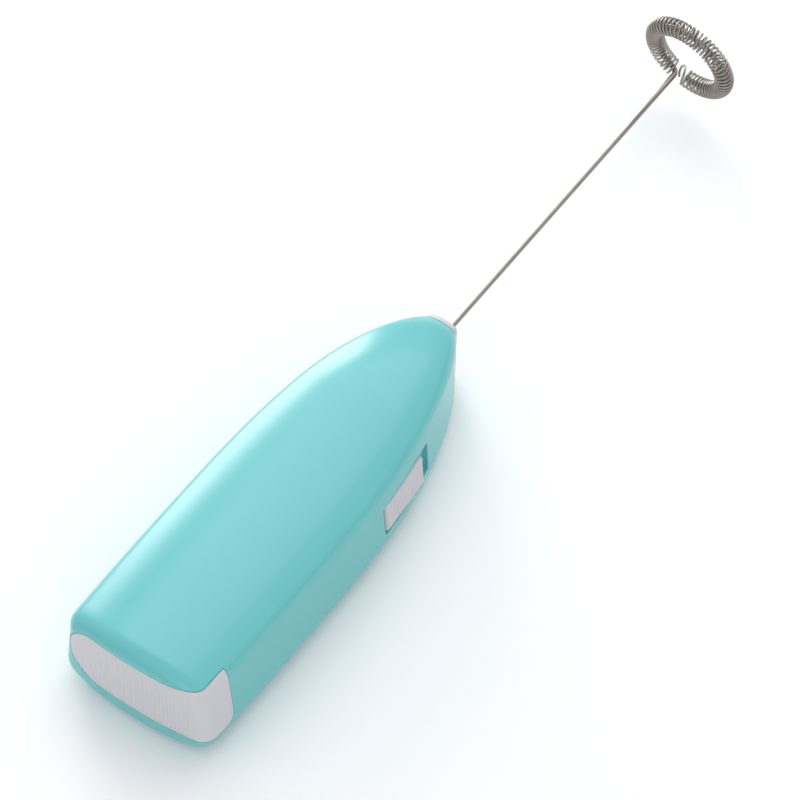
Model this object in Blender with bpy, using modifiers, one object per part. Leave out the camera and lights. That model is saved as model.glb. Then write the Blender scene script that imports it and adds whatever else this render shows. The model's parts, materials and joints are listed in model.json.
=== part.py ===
"""A battery milk frother: a bullet-shaped handle on two AA cells, a slide switch and a coil whisk.

Frame: +X runs along the whisk's shaft, +Z is up, and the handle lies on the flat strip of its
underside, whose centre is the origin. Lengths are in millimetres, turned to metres by MM.
A station is a distance from the rear end of the handle.
"""

import math

import bmesh
import bpy
from mathutils import Matrix, Vector

MM = 0.001

# The handle's outside.
HANDLE_LENGTH = 108.0
HALF_WIDTH = 18.8
HANDLE_HEIGHT = 23.8
AXIS_HEIGHT = 10.9  # of the whisk's shaft above the table
WALL = 1.8
WIDEST_STATION = 42.5  # where the sides start to draw in to the nose
NOSE_POWER = 2.38
NOSE_ROOT = 0.635
REAR_NARROWING = 0.042  # share of the half width that is lost at the rear
PROFILE_STATION = 74.3  # where the top and the underside start to draw in to the nose
NOSE_HALF_HEIGHT = 2.6  # of the top at the nose, above the shaft
NOSE_DROP = 7.5  # of the underside there, below the shaft
NOSE_END = 107.6
TOP_CROWN = 3.9
BELLY_CROWN = 2.4
BELLY_FLAT = 4.6  # half width of the strip that the handle rests on
SIDE_DRAFT = 2.1
TOP_RADIUS = 3.3
BOTTOM_RADIUS = 4.4
REAR_RADIUS = 2.8
REAR_BOW = 1.8
BOW_FADE = 12.0  # length over which the rear's bow dies out
CROWN_STEPS = 5
CORNER_STEPS = 4
BELLY_STEPS = 3
SIDE_STATIONS = 15
REAR_RING = 0.6  # size of the ring inside the rear face, as a share of the face
LEAST_RADIUS = 0.8  # of the section's corners near the nose
LEAST_HALF_WIDTH = 0.3
CROWN_SHARE = 0.5  # most of the section's height that a crown takes
CORNER_SHARE = 0.45  # most of a leg that a corner's arc takes
TOP_SHARE, BOTTOM_SHARE = 0.8, 0.95  # of that, by the upper and the lower arc
REAR_FALL = 2.5  # power of the narrowing at the rear

# The opening for the cells and the end cap.
LIP_TOP = 20.4
LIP_BOTTOM = 5.4
RIM = 2.0  # depth of the thick rim round the opening
END_RIM = 2.8  # of the handle beside the opening's closed end, at +Y
END_RADIUS = 7.0  # of that end's corners
GRIP_LENGTH = 8.0  # how far the cap's grips reach along the sides
GRIP_RADIUS = 2.0
GRIP_CURVE = 0.2  # share of the opening's height over which the grip is rounded
CAP_WALL = 2.4
GRIP_WEB = 1.8  # of the grip's thick top edge, under the upper lip
RIB_PITCH = 1.5
RIB_HALF_SPAN = 13.5
RIB_DEPTH = 0.3
TONGUE_HALF_WIDTH = 2.8
TONGUE_THICKNESS = 1.2
TONGUE_STEP = 0.2  # from the cap's edge to the tongue
TONGUE_END = 9.0

# Fits.
GAP = 0.3  # between pieces that touch
CLEAR = 5.0  # how far a cutter runs past the piece it cuts
BEARING_GAP = 0.1  # round a turning shaft

# Two AA cells side by side.
CELL_RADIUS = 7.25
CELL_LENGTH = 49.5
NUB_RADIUS = 2.75
NUB_LENGTH = 1.0
CELL_SPACING = 15.2
CELL_HEIGHT = AXIS_HEIGHT + 2.0
SPRING_LENGTH = 4.2  # pressed by the cell
SPRING_BASE = 4.2
SPRING_TIP = 3.0
SPRING_WIRE = 0.4
SPRING_TURNS = 4
PLATE_THICKNESS = 0.4
PLATE_SIDE = 9.0
BRIDGE_HALF_WIDTH = 11.8
TAB_WIDTH = 2.0
TAB_HEIGHT = 3.8  # of a plate's tab from the middle of the cell
TAB_REACH = 0.6  # past the bulkhead
CRADLE_HALF_WIDTH = 1.0
CRADLE_FOOT = 2.3  # height of the cradles' feet above the table

# The motor, a flat-sided can of the 130 size.
MOTOR_RADIUS = 10.0
MOTOR_HALF_HEIGHT = 7.5
CAN_LENGTH = 20.0
BELL_LENGTH = 5.0
CAN_WALL = 0.9
BELL_WALL = 1.8
BOSS_RADIUS = 3.0
BOSS_LENGTH = 1.5
BUSH_RADIUS = 2.1
SHAFT_RADIUS = 1.0
SHAFT_STICKOUT = 8.0
MAGNET_THICKNESS = 1.9
MAGNET_LENGTH = 14.0
MAGNET_SPAN = math.radians(90.0)
ARMATURE_RADIUS = 6.2
ARMATURE_LENGTH = 9.0
POLES = 3
POLE_ARM = 1.6
POLE_SHOE = 1.3
POLE_SPAN = math.radians(66.0)
POLE_HUB = 2.4
WINDING_THICKNESS = 1.5
WINDING_DEPTH = 1.7
COMMUTATOR_RADIUS = 2.0
COMMUTATOR_LENGTH = 3.0
BRUSH_TAIL = 1.2  # behind the motor's end bell
BRUSH_REACH = 3.6  # in front of the end bell's rear
BRUSH_HALF_HEIGHT = 1.0
LEAF_WIDTH = 1.0
LEAF_HALF_HEIGHT = 0.8

# The chassis that carries the motor.
BULKHEAD = 1.8
FRONT_PLATE = 1.5
RAIL = 0.8
RAIL_SIDE = 8.6  # from the middle to the rail
RAIL_RISE = 5.5
LEAD_SPACE = 2.6  # between the bulkhead and the motor
LEAD_RADIUS = 0.55
TERMINAL_SIDE = 5.5

# The coupling and the whisk.
COUPLING_RADIUS = 2.2
COUPLING_LENGTH = 9.6
WIRE_RADIUS = 0.65
SHAFT_LENGTH = 95.9  # from the handle to the middle of the hoop's wire
HOOP_RADIUS = 9.8
HOOP_LEAN = math.radians(23.0)  # from straight up towards -Y, with the motor at rest
HOOP_TILT = math.radians(16.5)  # of the hoop's top back towards the handle
WIRE_BEND = 1.6
HOOP_POINTS = 40
HOOP_END = 2.6  # from the wire's end to the middle of the shaft
COIL_RADIUS = 1.92  # to the coil wire's centre
COIL_WIRE = 0.28
COIL_TURNS = 56
COIL_POINTS = 8
COIL_START = math.radians(6.5)
COIL_END = math.radians(8.0)
COIL_HOOK = math.radians(2.0)  # how far the last turn is drawn out of the coil
HOOK_TURN = math.radians(40.0)  # of the last turn's face towards the shaft
NOSE_BORE = 1.1
COLLAR_STATION = 105.4  # where the sleeve ends and the collar's plate starts
COLLAR_END = 106.7
COLLAR_EDGE = 0.5  # of the bevel round the plate
PLUG_LENGTH = 3.9
PLUG_OVERLAP = 0.1  # of the plug into the collar's lip

# The slide switch in the side at -Y.
SWITCH_START = 59.9
SWITCH_END = 79.1
SWITCH_HEIGHT = 8.4
SWITCH_CENTRE_HEIGHT = 10.7
RECESS_DEPTH = 1.0
BUTTON_LENGTH = 14.9
BUTTON_REAR_PROUD = 0.1  # of the button at its rear end
BUTTON_PROUD = 1.0  # and at its front end
BUTTON_RIBS = 10
BUTTON_RIB_DEPTH = 0.4
SLOT_HEIGHT = 3.4
STEM_START = 3.1
STEM_LENGTH = 8.0
STEM_REACH = 2.6  # from the recess floor inwards
WIPER_MARGIN = 0.6  # of the wiper past the stem, up and down
CONTACT_THICKNESS = 0.4
CONTACT_END = 14.5
CONTACT_MARGIN = 0.3
LOWER_CONTACT = (-2.2, -0.5)  # reach of the first contact up the side
UPPER_CONTACT = (0.5, 3.2)  # and of the second
TAIL_START = 2.3  # where the second contact's tail clears the wiper
BUTTON_START = 0.9  # from the rear end of the recess, with the switch off
SWITCH_TRAVEL = 2.2

REAR = -HANDLE_LENGTH / 2
TURN_STEPS = 24


def clear_scene():
    for thing in list(bpy.data.objects):
        bpy.data.objects.remove(thing, do_unlink=True)


def new_collection(name):
    collection = bpy.data.collections.new(name)
    bpy.context.scene.collection.children.link(collection)
    return collection


def make_material(name, colour, roughness, metallic=0.0):
    material = bpy.data.materials.new(name)
    material.use_nodes = True
    shader = material.node_tree.nodes["Principled BSDF"]
    shader.inputs["Base Color"].default_value = (*colour, 1.0)
    shader.inputs["Roughness"].default_value = roughness
    shader.inputs["Metallic"].default_value = metallic
    return material


clear_scene()
PARTS = new_collection("milk_frother")
CUTTERS = new_collection("cutters")

TURQUOISE = make_material("turquoise_abs", (0.22, 0.66, 0.68), 0.25)
PALE_GREY = make_material("pale_grey_abs", (0.56, 0.57, 0.62), 0.45)
WHITE = make_material("white_chassis_abs", (0.75, 0.75, 0.72), 0.5)
STEEL = make_material("stainless_wire", (0.55, 0.53, 0.50), 0.3, 1.0)
NICKEL = make_material("nickel_plate", (0.66, 0.64, 0.60), 0.25, 1.0)
COPPER = make_material("enamelled_copper", (0.55, 0.22, 0.08), 0.35, 1.0)
BRASS = make_material("brass", (0.70, 0.52, 0.22), 0.3, 1.0)
IRON = make_material("core_steel", (0.30, 0.30, 0.31), 0.5, 1.0)
FERRITE = make_material("ferrite", (0.06, 0.06, 0.065), 0.7)
CELL = make_material("cell_jacket", (0.10, 0.11, 0.13), 0.35)
RED = make_material("red_lead", (0.55, 0.03, 0.03), 0.5)
BLACK = make_material("black_lead", (0.02, 0.02, 0.02), 0.5)


def at(station, y=0.0, z=0.0):
    """The point at a station, in metres."""
    return Vector(((REAR + station) * MM, y * MM, z * MM))


def keep(obj, material, smooth=True):
    """Puts a finished sub-part in the part's collection."""
    PARTS.objects.link(obj)
    obj.data.materials.append(material)
    if smooth and obj.type == "MESH":
        obj.data.shade_smooth()
        obj.data.set_sharp_from_angle(angle=math.radians(35))
    return obj


def tool(obj):
    """Puts a cutter, or a piece that is joined to another, in the cutters' collection."""
    CUTTERS.objects.link(obj)
    obj.hide_render = True
    obj.display_type = "WIRE"
    return obj


def combine(obj, other, operation):
    modifier = obj.modifiers.new(operation.lower(), "BOOLEAN")
    modifier.operation = operation
    modifier.object = other
    modifier.solver = "EXACT"
    return obj


def mesh_object(name, bm):
    bmesh.ops.recalc_face_normals(bm, faces=bm.faces)
    mesh = bpy.data.meshes.new(name)
    bm.to_mesh(mesh)
    bm.free()
    return bpy.data.objects.new(name, mesh)


def box(name, low, high):
    """A box between two corners, each (station, y, z)."""
    low, high = at(*low), at(*high)
    bm = bmesh.new()
    bmesh.ops.create_cube(bm, size=1.0)
    bmesh.ops.scale(bm, vec=high - low, verts=bm.verts)
    obj = mesh_object(name, bm)
    obj.location = (low + high) / 2
    return obj


def turned(name, profile, y=0.0, z=AXIS_HEIGHT, steps=TURN_STEPS):
    """A shape turned about a line along X, from (station, radius) points.

    The points run from the front to the rear on the outside. A profile that starts and ends
    off the line is closed into a ring.
    """
    first = profile[0][0]
    bm = bmesh.new()
    verts = [bm.verts.new((radius * MM, 0, (station - first) * MM)) for station, radius in profile]
    for a, b in zip(verts, verts[1:]):
        bm.edges.new((a, b))
    if profile[0][1] > 0:
        bm.edges.new((verts[-1], verts[0]))
    mesh = bpy.data.meshes.new(name)
    bm.to_mesh(mesh)
    bm.free()
    obj = bpy.data.objects.new(name, mesh)
    screw = obj.modifiers.new("turn", "SCREW")
    screw.steps = screw.render_steps = steps
    screw.use_merge_vertices = True
    screw.merge_threshold = 1e-6
    obj.location = at(first, y, z)
    obj.rotation_euler = (0, math.pi / 2, 0)
    return obj


def rod(name, start, end, radius, **where):
    return turned(name, [(end, 0), (end, radius), (start, radius), (start, 0)], **where)


def tube(name, start, end, outer, inner, **where):
    profile = [(end, inner), (end, outer), (start, outer), (start, inner)]
    return turned(name, profile, **where)


def prism(name, outline, low, high, plane="XZ"):
    """A flat outline in metres, extruded between two levels across its plane.

    An XZ outline is extruded along Y, an XY outline along Z and a YZ outline along X.
    """
    bm = bmesh.new()
    order = {"XZ": (0, 2, 1), "XY": (0, 1, 2), "YZ": (1, 2, 0)}[plane]
    rings = []
    for level in (low, high):
        ring = []
        for point in outline:
            place = [0.0, 0.0, 0.0]
            place[order[0]], place[order[1]], place[order[2]] = point[0], point[1], level
            ring.append(bm.verts.new(place))
        rings.append(ring)
    count = len(outline)
    for i in range(count):
        j = (i + 1) % count
        bm.faces.new((rings[0][i], rings[0][j], rings[1][j], rings[1][i]))
    bm.faces.new(rings[0])
    bm.faces.new(rings[1])
    return mesh_object(name, bm)


def wire(name, points, radius, resolution=2):
    """A round wire through the points."""
    curve = bpy.data.curves.new(name, "CURVE")
    curve.dimensions = "3D"
    curve.bevel_depth = radius * MM
    curve.bevel_resolution = resolution
    curve.use_fill_caps = True
    curve.resolution_u = 1
    curve.render_resolution_u = 0
    spline = curve.splines.new("POLY")
    spline.points.add(len(points) - 1)
    for slot, point in zip(spline.points, points):
        slot.co = (*point, 1)
    return bpy.data.objects.new(name, curve)


def eased(points, steps=4):
    """A smooth run through a few points."""
    out = []
    count = len(points)
    for i in range(count - 1):
        before, a = points[max(i - 1, 0)], points[i]
        b, after = points[i + 1], points[min(i + 2, count - 1)]
        for k in range(steps):
            t = k / steps
            out.append(
                0.5 * (2 * a + (b - before) * t + (2 * before - 5 * a + 4 * b - after) * t ** 2
                       + (3 * a - before - 3 * b + after) * t ** 3)
            )
    out.append(points[-1])
    return out


# The handle's shape.

def half_width(station):
    """Half width at the belt: a blunt bullet in plan, drawn in a little at the rear."""
    nose = max(station - WIDEST_STATION, 0) / (HANDLE_LENGTH - WIDEST_STATION)
    rear = max(1 - station / WIDEST_STATION, 0)
    narrowing = 1 - REAR_NARROWING * rear ** REAR_FALL
    return HALF_WIDTH * narrowing * (1 - min(nose, 1) ** NOSE_POWER) ** NOSE_ROOT


def half_heights(station):
    """Heights of the top and the underside above and below the shaft's axis."""
    run = max(station - PROFILE_STATION, 0) / (HANDLE_LENGTH - PROFILE_STATION)
    share = math.sqrt(max(1 - run ** 2, 0))
    above = NOSE_HALF_HEIGHT + (HANDLE_HEIGHT - AXIS_HEIGHT - NOSE_HALF_HEIGHT) * share
    below = NOSE_DROP + (AXIS_HEIGHT - NOSE_DROP) * share
    return above, below


def fillet(corner, towards, away, radius, steps):
    """Points round a corner, from the leg `towards` to the leg `away`, which are unit vectors."""
    angle = towards.angle(away)
    reach = radius / math.tan(angle / 2)
    centre = corner + (towards + away).normalized() * (radius / math.sin(angle / 2))
    start = corner + towards * reach - centre
    end = corner + away * reach - centre
    sweep = start.angle_signed(end)
    points = []
    for k in range(steps + 1):
        turn = -sweep * k / steps
        cosine, sine = math.cos(turn), math.sin(turn)
        points.append(centre + Vector((start.x * cosine - start.y * sine,
                                       start.x * sine + start.y * cosine)))
    return points


def section(station, inset):
    """The closed cross-section as (y, z) points, inset from the outside."""
    width = max(half_width(station) - inset, LEAST_HALF_WIDTH)
    above, below = half_heights(station)
    above, below = above - inset, below - inset
    share = width / HALF_WIDTH
    top_crown = TOP_CROWN * min(share, CROWN_SHARE * above / TOP_CROWN)
    belly = BELLY_CROWN * min(share, CROWN_SHARE * below / BELLY_CROWN)
    flat = BELLY_FLAT * share
    shoulder = width - SIDE_DRAFT * min(share, 1)
    corner = Vector((shoulder, above - top_crown))
    foot = Vector((width, belly - below))
    side = (foot - corner).normalized()
    over = Vector((-shoulder, 2 * top_crown)).normalized()
    under = Vector((flat - width, -2 * belly)).normalized()
    room = CORNER_SHARE * min((foot - corner).length, shoulder)
    top_radius = min(max(TOP_RADIUS - inset, LEAST_RADIUS), TOP_SHARE * room)
    bottom_radius = min(max(BOTTOM_RADIUS - inset, LEAST_RADIUS), BOTTOM_SHARE * room)
    shoulder_arc = fillet(corner, over, side, top_radius, CORNER_STEPS)
    foot_arc = fillet(foot, -side, under, bottom_radius, CORNER_STEPS)
    points = []
    for k in range(1, CROWN_STEPS):
        y = shoulder_arc[0].x * k / CROWN_STEPS
        drop = (above - shoulder_arc[0].y) * (y / shoulder_arc[0].x) ** 2
        points.append(Vector((y, above - drop)))
    points += shoulder_arc + [(shoulder_arc[-1] + foot_arc[0]) / 2] + foot_arc
    for k in range(1, BELLY_STEPS + 1):
        part = 1 - k / BELLY_STEPS
        y = flat + (foot_arc[-1].x - flat) * part
        points.append(Vector((y, -below + (foot_arc[-1].y + below) * part ** 2)))
    mirrored = [Vector((-p.x, p.y)) for p in reversed(points)]
    return [Vector((0, above))] + points + mirrored


def ring(station, inset, bowed=True):
    """A cross-section in place, with the rear's bow."""
    fade = max(1 - station / BOW_FADE, 0) ** 2 if bowed else 0.0
    points = []
    for p in section(station, inset):
        bow = REAR_BOW * (1 - (p.x / HALF_WIDTH) ** 2) * fade
        points.append(at(station - bow, p.x, AXIS_HEIGHT + p.y))
    return points


def loft(name, rings, rear_pole=None):
    """A closed skin over rings of equal count, ended flat or, at the rear, at a pole."""
    bm = bmesh.new()
    rows = [[bm.verts.new(p) for p in points] for points in rings]
    count = len(rows[0])
    for a, b in zip(rows, rows[1:]):
        for i in range(count):
            j = (i + 1) % count
            bm.faces.new((a[i], a[j], b[j], b[i]))
    bm.faces.new(rows[-1])
    if rear_pole is None:
        bm.faces.new(rows[0])
    else:
        pole = bm.verts.new(rear_pole)
        for i in range(count):
            bm.faces.new((rows[0][i], rows[0][(i + 1) % count], pole))
    return mesh_object(name, bm)


def stations(start, end, count):
    """Stations that crowd towards the end."""
    return [start + (end - start) * math.sin(math.pi / 2 * k / count) for k in range(count + 1)]


def handle_solid(name):
    """The handle's whole outside as one solid."""
    rings = []
    edge = ring(0, REAR_RADIUS)
    centre = at(-REAR_BOW, 0, AXIS_HEIGHT)
    shrunk = []
    for p in edge:
        y, z = p.y * REAR_RING, centre.z + (p.z - centre.z) * REAR_RING
        bow = REAR_BOW * MM * (1 - (y / (HALF_WIDTH * MM)) ** 2)
        shrunk.append(Vector((REAR * MM - bow, y, z)))
    rings.append(shrunk)
    for k in range(CORNER_STEPS + 1):
        turn = math.pi / 2 * k / CORNER_STEPS
        station = REAR_RADIUS * (1 - math.cos(turn))
        rings.append(ring(station, REAR_RADIUS * (1 - math.sin(turn))))
    for station in stations(REAR_RADIUS, NOSE_END, SIDE_STATIONS)[1:]:
        rings.append(ring(station, 0))
    return loft(name, rings, rear_pole=centre)


def inner_solid(name, start, end, inset, count):
    """The handle's shape inset from the outside, between two stations."""
    return loft(name, [ring(s, inset, bowed=False) for s in stations(start, end, count)])


def opening_profile(clearance):
    """Side view of the rear opening: square at the lip above, rounded at the lip below."""
    low, high = LIP_BOTTOM + clearance, LIP_TOP - clearance
    front = GRIP_LENGTH - clearance
    rise = (high - low) * GRIP_CURVE
    rear = -REAR_BOW - CLEAR
    outline = [at(rear, 0, low), at(rear, 0, high), at(front, 0, high)]
    steps = 6
    for k in range(steps + 1):
        turn = math.pi / 2 * k / steps
        station = front - GRIP_RADIUS * (1 - math.cos(turn))
        outline.append(at(station, 0, low + rise * (1 - math.sin(turn))))
    return [(p.x, p.z) for p in outline]


def opening_solid(name, clearance):
    """The opening, which runs out through the side at -Y and ends rounded inside the one at +Y."""
    wide = 1.5 * HALF_WIDTH
    solid = prism(name, opening_profile(clearance), -wide * MM, wide * MM)
    low, high = LIP_BOTTOM + clearance, LIP_TOP - clearance
    end = half_width(0) - END_RIM - clearance
    radius = min(END_RADIUS, (high - low) / 2 - clearance)
    outline = [(-wide, high + CLEAR), (-wide, low - CLEAR), (end - radius, low - CLEAR)]
    steps = 6
    for centre, first in ((low + radius, -math.pi / 2), (high - radius, 0)):
        for k in range(steps + 1):
            turn = first + math.pi / 2 * k / steps
            outline.append((end - radius * (1 - math.cos(turn)), centre + radius * math.sin(turn)))
    outline.append((end - radius, high + CLEAR))
    flat = [(y * MM, z * MM) for y, z in outline]
    limit = prism("opening_end", flat, (REAR - REAR_BOW - 2 * CLEAR) * MM,
                  (REAR + GRIP_LENGTH + CLEAR) * MM, plane="YZ")
    return combine(solid, tool(limit), "INTERSECT")


# The switch's own frame: along the slide, inwards from the handle's side, and up the side.

def side_offset(station, height):
    """How far the handle's side lies from the middle at a height."""
    level = height - AXIS_HEIGHT
    points = section(station, 0)
    points = points[: len(points) // 2 + 1]
    for a, b in zip(points, points[1:]):
        if a.y >= level >= b.y:
            return a.x + (b.x - a.x) * (a.y - level) / max(a.y - b.y, 1e-9)
    return half_width(station)


def switch_frame():
    """The rear end of the recess on the side, and the frame's three directions."""
    ends = [Vector((REAR + s, -side_offset(s, SWITCH_CENTRE_HEIGHT), SWITCH_CENTRE_HEIGHT))
            for s in (SWITCH_START, SWITCH_END)]
    along = (ends[1] - ends[0]).normalized()
    turn = math.atan2(along.y, along.x)
    middle = (SWITCH_START + SWITCH_END) / 2
    reach = SWITCH_HEIGHT / 2
    spread = side_offset(middle, SWITCH_CENTRE_HEIGHT - reach) \
        - side_offset(middle, SWITCH_CENTRE_HEIGHT + reach)
    lean = math.atan2(spread, SWITCH_HEIGHT)
    turned_frame = Matrix.Rotation(turn, 3, "Z") @ Matrix.Rotation(-lean, 3, "X")
    return ends[0], turned_frame, (ends[1] - ends[0]).length


SWITCH_ORIGIN, SWITCH_FRAME, SWITCH_LENGTH = switch_frame()


def switch_point(along, inward, up):
    """A point of the switch's frame, in metres."""
    return (SWITCH_ORIGIN + SWITCH_FRAME @ Vector((along, inward, up))) * MM


def place_in_switch(obj):
    obj.location = SWITCH_ORIGIN * MM
    obj.rotation_euler = SWITCH_FRAME.to_euler()
    return obj


def switch_box(name, low, high, rise=0.0):
    """A box in the switch's frame, whose outer face may come out by a rise along the slide."""
    size = Vector(high) - Vector(low)
    bm = bmesh.new()
    bmesh.ops.create_cube(bm, size=1.0)
    bmesh.ops.scale(bm, vec=size * MM, verts=bm.verts)
    bmesh.ops.translate(bm, vec=(Vector(low) + size / 2) * MM, verts=bm.verts)
    for vert in bm.verts:
        if vert.co.y < (low[1] + high[1]) / 2 * MM:
            vert.co.y -= rise * (vert.co.x - low[0] * MM)
    return place_in_switch(mesh_object(name, bm))


# Where the pieces inside follow each other along the handle.

BRIDGE = CAP_WALL + GAP
BRIDGE_FACE = BRIDGE + PLATE_THICKNESS
CELL_2_TIP = BRIDGE_FACE + GAP
CELL_2_REAR = CELL_2_TIP + NUB_LENGTH
CELL_2_FRONT = CELL_2_REAR + CELL_LENGTH
CELL_1_REAR = BRIDGE_FACE + GAP + SPRING_LENGTH + GAP
CELL_1_FRONT = CELL_1_REAR + CELL_LENGTH
PLATE = CELL_1_FRONT + NUB_LENGTH + GAP
BULKHEAD_REAR = PLATE + PLATE_THICKNESS + GAP
BULKHEAD_FRONT = BULKHEAD_REAR + BULKHEAD
BELL_REAR = BULKHEAD_FRONT + LEAD_SPACE
CAN_REAR = BELL_REAR + BELL_LENGTH
CAN_FRONT = CAN_REAR + CAN_LENGTH
PLATE_REAR = CAN_FRONT + GAP
SHAFT_TIP = CAN_FRONT + BOSS_LENGTH + SHAFT_STICKOUT
COUPLING_REAR = PLATE_REAR + FRONT_PLATE + GAP
COUPLING_FRONT = COUPLING_REAR + COUPLING_LENGTH
ARMATURE_MIDDLE = CAN_REAR + 0.43 * CAN_LENGTH
HOOP_STATION = HANDLE_LENGTH + SHAFT_LENGTH


def make_sleeve():
    sleeve = handle_solid("handle_sleeve")
    cavity = inner_solid("cavity", RIM, HANDLE_LENGTH, WALL, SIDE_STATIONS)
    half = SWITCH_HEIGHT / 2
    start = BULKHEAD_FRONT + 2 * GAP - SWITCH_START
    backing = switch_box("recess_backing", (start, -CLEAR, -half),
                         (SWITCH_LENGTH + WALL, WALL, half))
    combine(cavity, tool(backing), "DIFFERENCE")
    combine(sleeve, tool(cavity), "DIFFERENCE")
    combine(sleeve, tool(opening_solid("cell_opening", 0)), "DIFFERENCE")
    reach = 2 * HALF_WIDTH
    nose = box("nose_cut", (COLLAR_STATION, -reach, -reach),
               (HANDLE_LENGTH + CLEAR, reach, reach))
    combine(sleeve, tool(nose), "DIFFERENCE")
    recess = switch_box("recess", (0, -CLEAR, -half), (SWITCH_LENGTH, RECESS_DEPTH, half))
    combine(sleeve, tool(recess), "DIFFERENCE")
    slot_end = STEM_START + STEM_LENGTH + SWITCH_TRAVEL + GAP
    half = SLOT_HEIGHT / 2
    slot = switch_box("stem_slot", (STEM_START - GAP, -CLEAR, -half), (slot_end, CLEAR, half))
    combine(sleeve, tool(slot), "DIFFERENCE")
    return keep(sleeve, TURQUOISE)


def collar_ring(station, inset):
    """The outline of the sleeve's front end, carried forwards."""
    return [at(station, p.x, AXIS_HEIGHT + p.y) for p in section(COLLAR_STATION, inset)]


def make_collar():
    stops = ((COLLAR_STATION + GAP, 0), (COLLAR_END - COLLAR_EDGE, 0), (COLLAR_END, COLLAR_EDGE))
    collar = loft("nose_collar", [collar_ring(*stop) for stop in stops])
    plug_front = COLLAR_STATION + GAP + PLUG_OVERLAP
    plug = inner_solid("collar_plug", COLLAR_STATION - PLUG_LENGTH, plug_front, WALL + GAP, 3)
    combine(collar, tool(plug), "UNION")
    bore = rod("collar_bore", COLLAR_STATION - 2 * PLUG_LENGTH, HANDLE_LENGTH + CLEAR, NOSE_BORE)
    combine(collar, tool(bore), "DIFFERENCE")
    return keep(collar, PALE_GREY)


def groove_comb():
    """Plan view of the grooves that leave ribs on the end cap's bowed rear face."""
    def surface(y):
        return REAR - REAR_BOW * (1 - (y / HALF_WIDTH) ** 2)

    far = REAR - REAR_BOW - CLEAR
    count = int(2 * RIB_HALF_SPAN / RIB_PITCH)
    outline = [(far, -RIB_HALF_SPAN)]
    for k in range(count):
        left = -RIB_HALF_SPAN + RIB_PITCH * k
        right = left + RIB_PITCH / 2
        outline += [(surface(left) - RIB_DEPTH, left), (surface(left) + RIB_DEPTH, left),
                    (surface(right) + RIB_DEPTH, right), (surface(right) - RIB_DEPTH, right)]
    outline.append((far, RIB_HALF_SPAN))
    flat = [(x * MM, y * MM) for x, y in outline]
    return prism("rib_grooves", flat, 0, HANDLE_HEIGHT * MM, plane="XY")


def make_end_cap():
    cap = handle_solid("end_cap")
    combine(cap, tool(opening_solid("cap_limit", GAP)), "INTERSECT")
    side = CELL_SPACING / 2 + CELL_RADIUS + 1.5 * GAP
    inner = CELL_SPACING / 2 + CELL_RADIUS * math.sin(math.pi / 4)
    for name, edge, height in (("cap_hollow", side, LIP_TOP - GAP - GRIP_WEB),
                               ("cap_opening", inner, HANDLE_HEIGHT + CLEAR)):
        hollow = box(name, (CAP_WALL, -edge, -CLEAR),
                     (GRIP_LENGTH + CLEAR, 2 * HALF_WIDTH, height))
        combine(cap, tool(hollow), "DIFFERENCE")
    top, bottom = LIP_TOP - GAP - TONGUE_STEP, LIP_BOTTOM + GAP + TONGUE_STEP
    levels = ((top - TONGUE_THICKNESS, top), (bottom, bottom + TONGUE_THICKNESS))
    for name, (low, high) in zip(("upper_tongue", "lower_tongue"), levels):
        tongue = box(name, (CAP_WALL / 2, -TONGUE_HALF_WIDTH, low),
                     (TONGUE_END, TONGUE_HALF_WIDTH, high))
        combine(cap, tool(tongue), "UNION")
    combine(cap, tool(groove_comb()), "DIFFERENCE")
    return keep(cap, PALE_GREY)


def make_chassis():
    inset = WALL + GAP
    chassis = inner_solid("chassis", BULKHEAD_REAR, BULKHEAD_FRONT, inset, 1)
    front = inner_solid("front_plate", PLATE_REAR, PLATE_REAR + FRONT_PLATE, inset, 1)
    combine(chassis, tool(front), "UNION")
    room = tool(inner_solid("rail_limit", BULKHEAD_REAR, HANDLE_LENGTH, inset, SIDE_STATIONS))
    for side in (-1, 1):
        for level in (-1, 1):
            ys = sorted((side * RAIL_SIDE, side * (RAIL_SIDE + RAIL)))
            zs = sorted((level * RAIL_RISE, level * (RAIL_RISE + RAIL)))
            rail = box("motor_rail", (BULKHEAD_FRONT - RAIL / 2, ys[0], AXIS_HEIGHT + zs[0]),
                       (PLATE_REAR + RAIL / 2, ys[1], AXIS_HEIGHT + zs[1]))
            combine(rail, room, "INTERSECT")
            combine(chassis, tool(rail), "UNION")
        middle = side * CELL_SPACING / 2
        top = CELL_HEIGHT - CELL_RADIUS - GAP
        cradle = box("cell_cradle", (CELL_1_REAR, middle - CRADLE_HALF_WIDTH, CRADLE_FOOT),
                     (BULKHEAD_REAR + BULKHEAD / 2, middle + CRADLE_HALF_WIDTH, top))
        combine(chassis, tool(cradle), "UNION")
        low, high = tab_box(side, GAP)
        combine(chassis, tool(box("tab_slot", low, high)), "DIFFERENCE")
    hole = rod("boss_hole", CAN_FRONT, PLATE_REAR + FRONT_PLATE + CLEAR, BOSS_RADIUS + GAP)
    combine(chassis, tool(hole), "DIFFERENCE")
    return keep(chassis, WHITE)


def cell_profile(rear, front, nub_forward):
    nub_end = front + NUB_LENGTH if nub_forward else rear - NUB_LENGTH
    if nub_forward:
        return [(nub_end, 0), (nub_end, NUB_RADIUS), (front, NUB_RADIUS), (front, CELL_RADIUS),
                (rear, CELL_RADIUS), (rear, 0)]
    return [(front, 0), (front, CELL_RADIUS), (rear, CELL_RADIUS), (rear, NUB_RADIUS),
            (nub_end, NUB_RADIUS), (nub_end, 0)]


def make_cells():
    spread = CELL_SPACING / 2
    first = cell_profile(CELL_1_REAR, CELL_1_FRONT, True)
    keep(turned("cell_1", first, y=spread, z=CELL_HEIGHT), CELL)
    second = cell_profile(CELL_2_REAR, CELL_2_FRONT, False)
    keep(turned("cell_2", second, y=-spread, z=CELL_HEIGHT), CELL)


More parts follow.
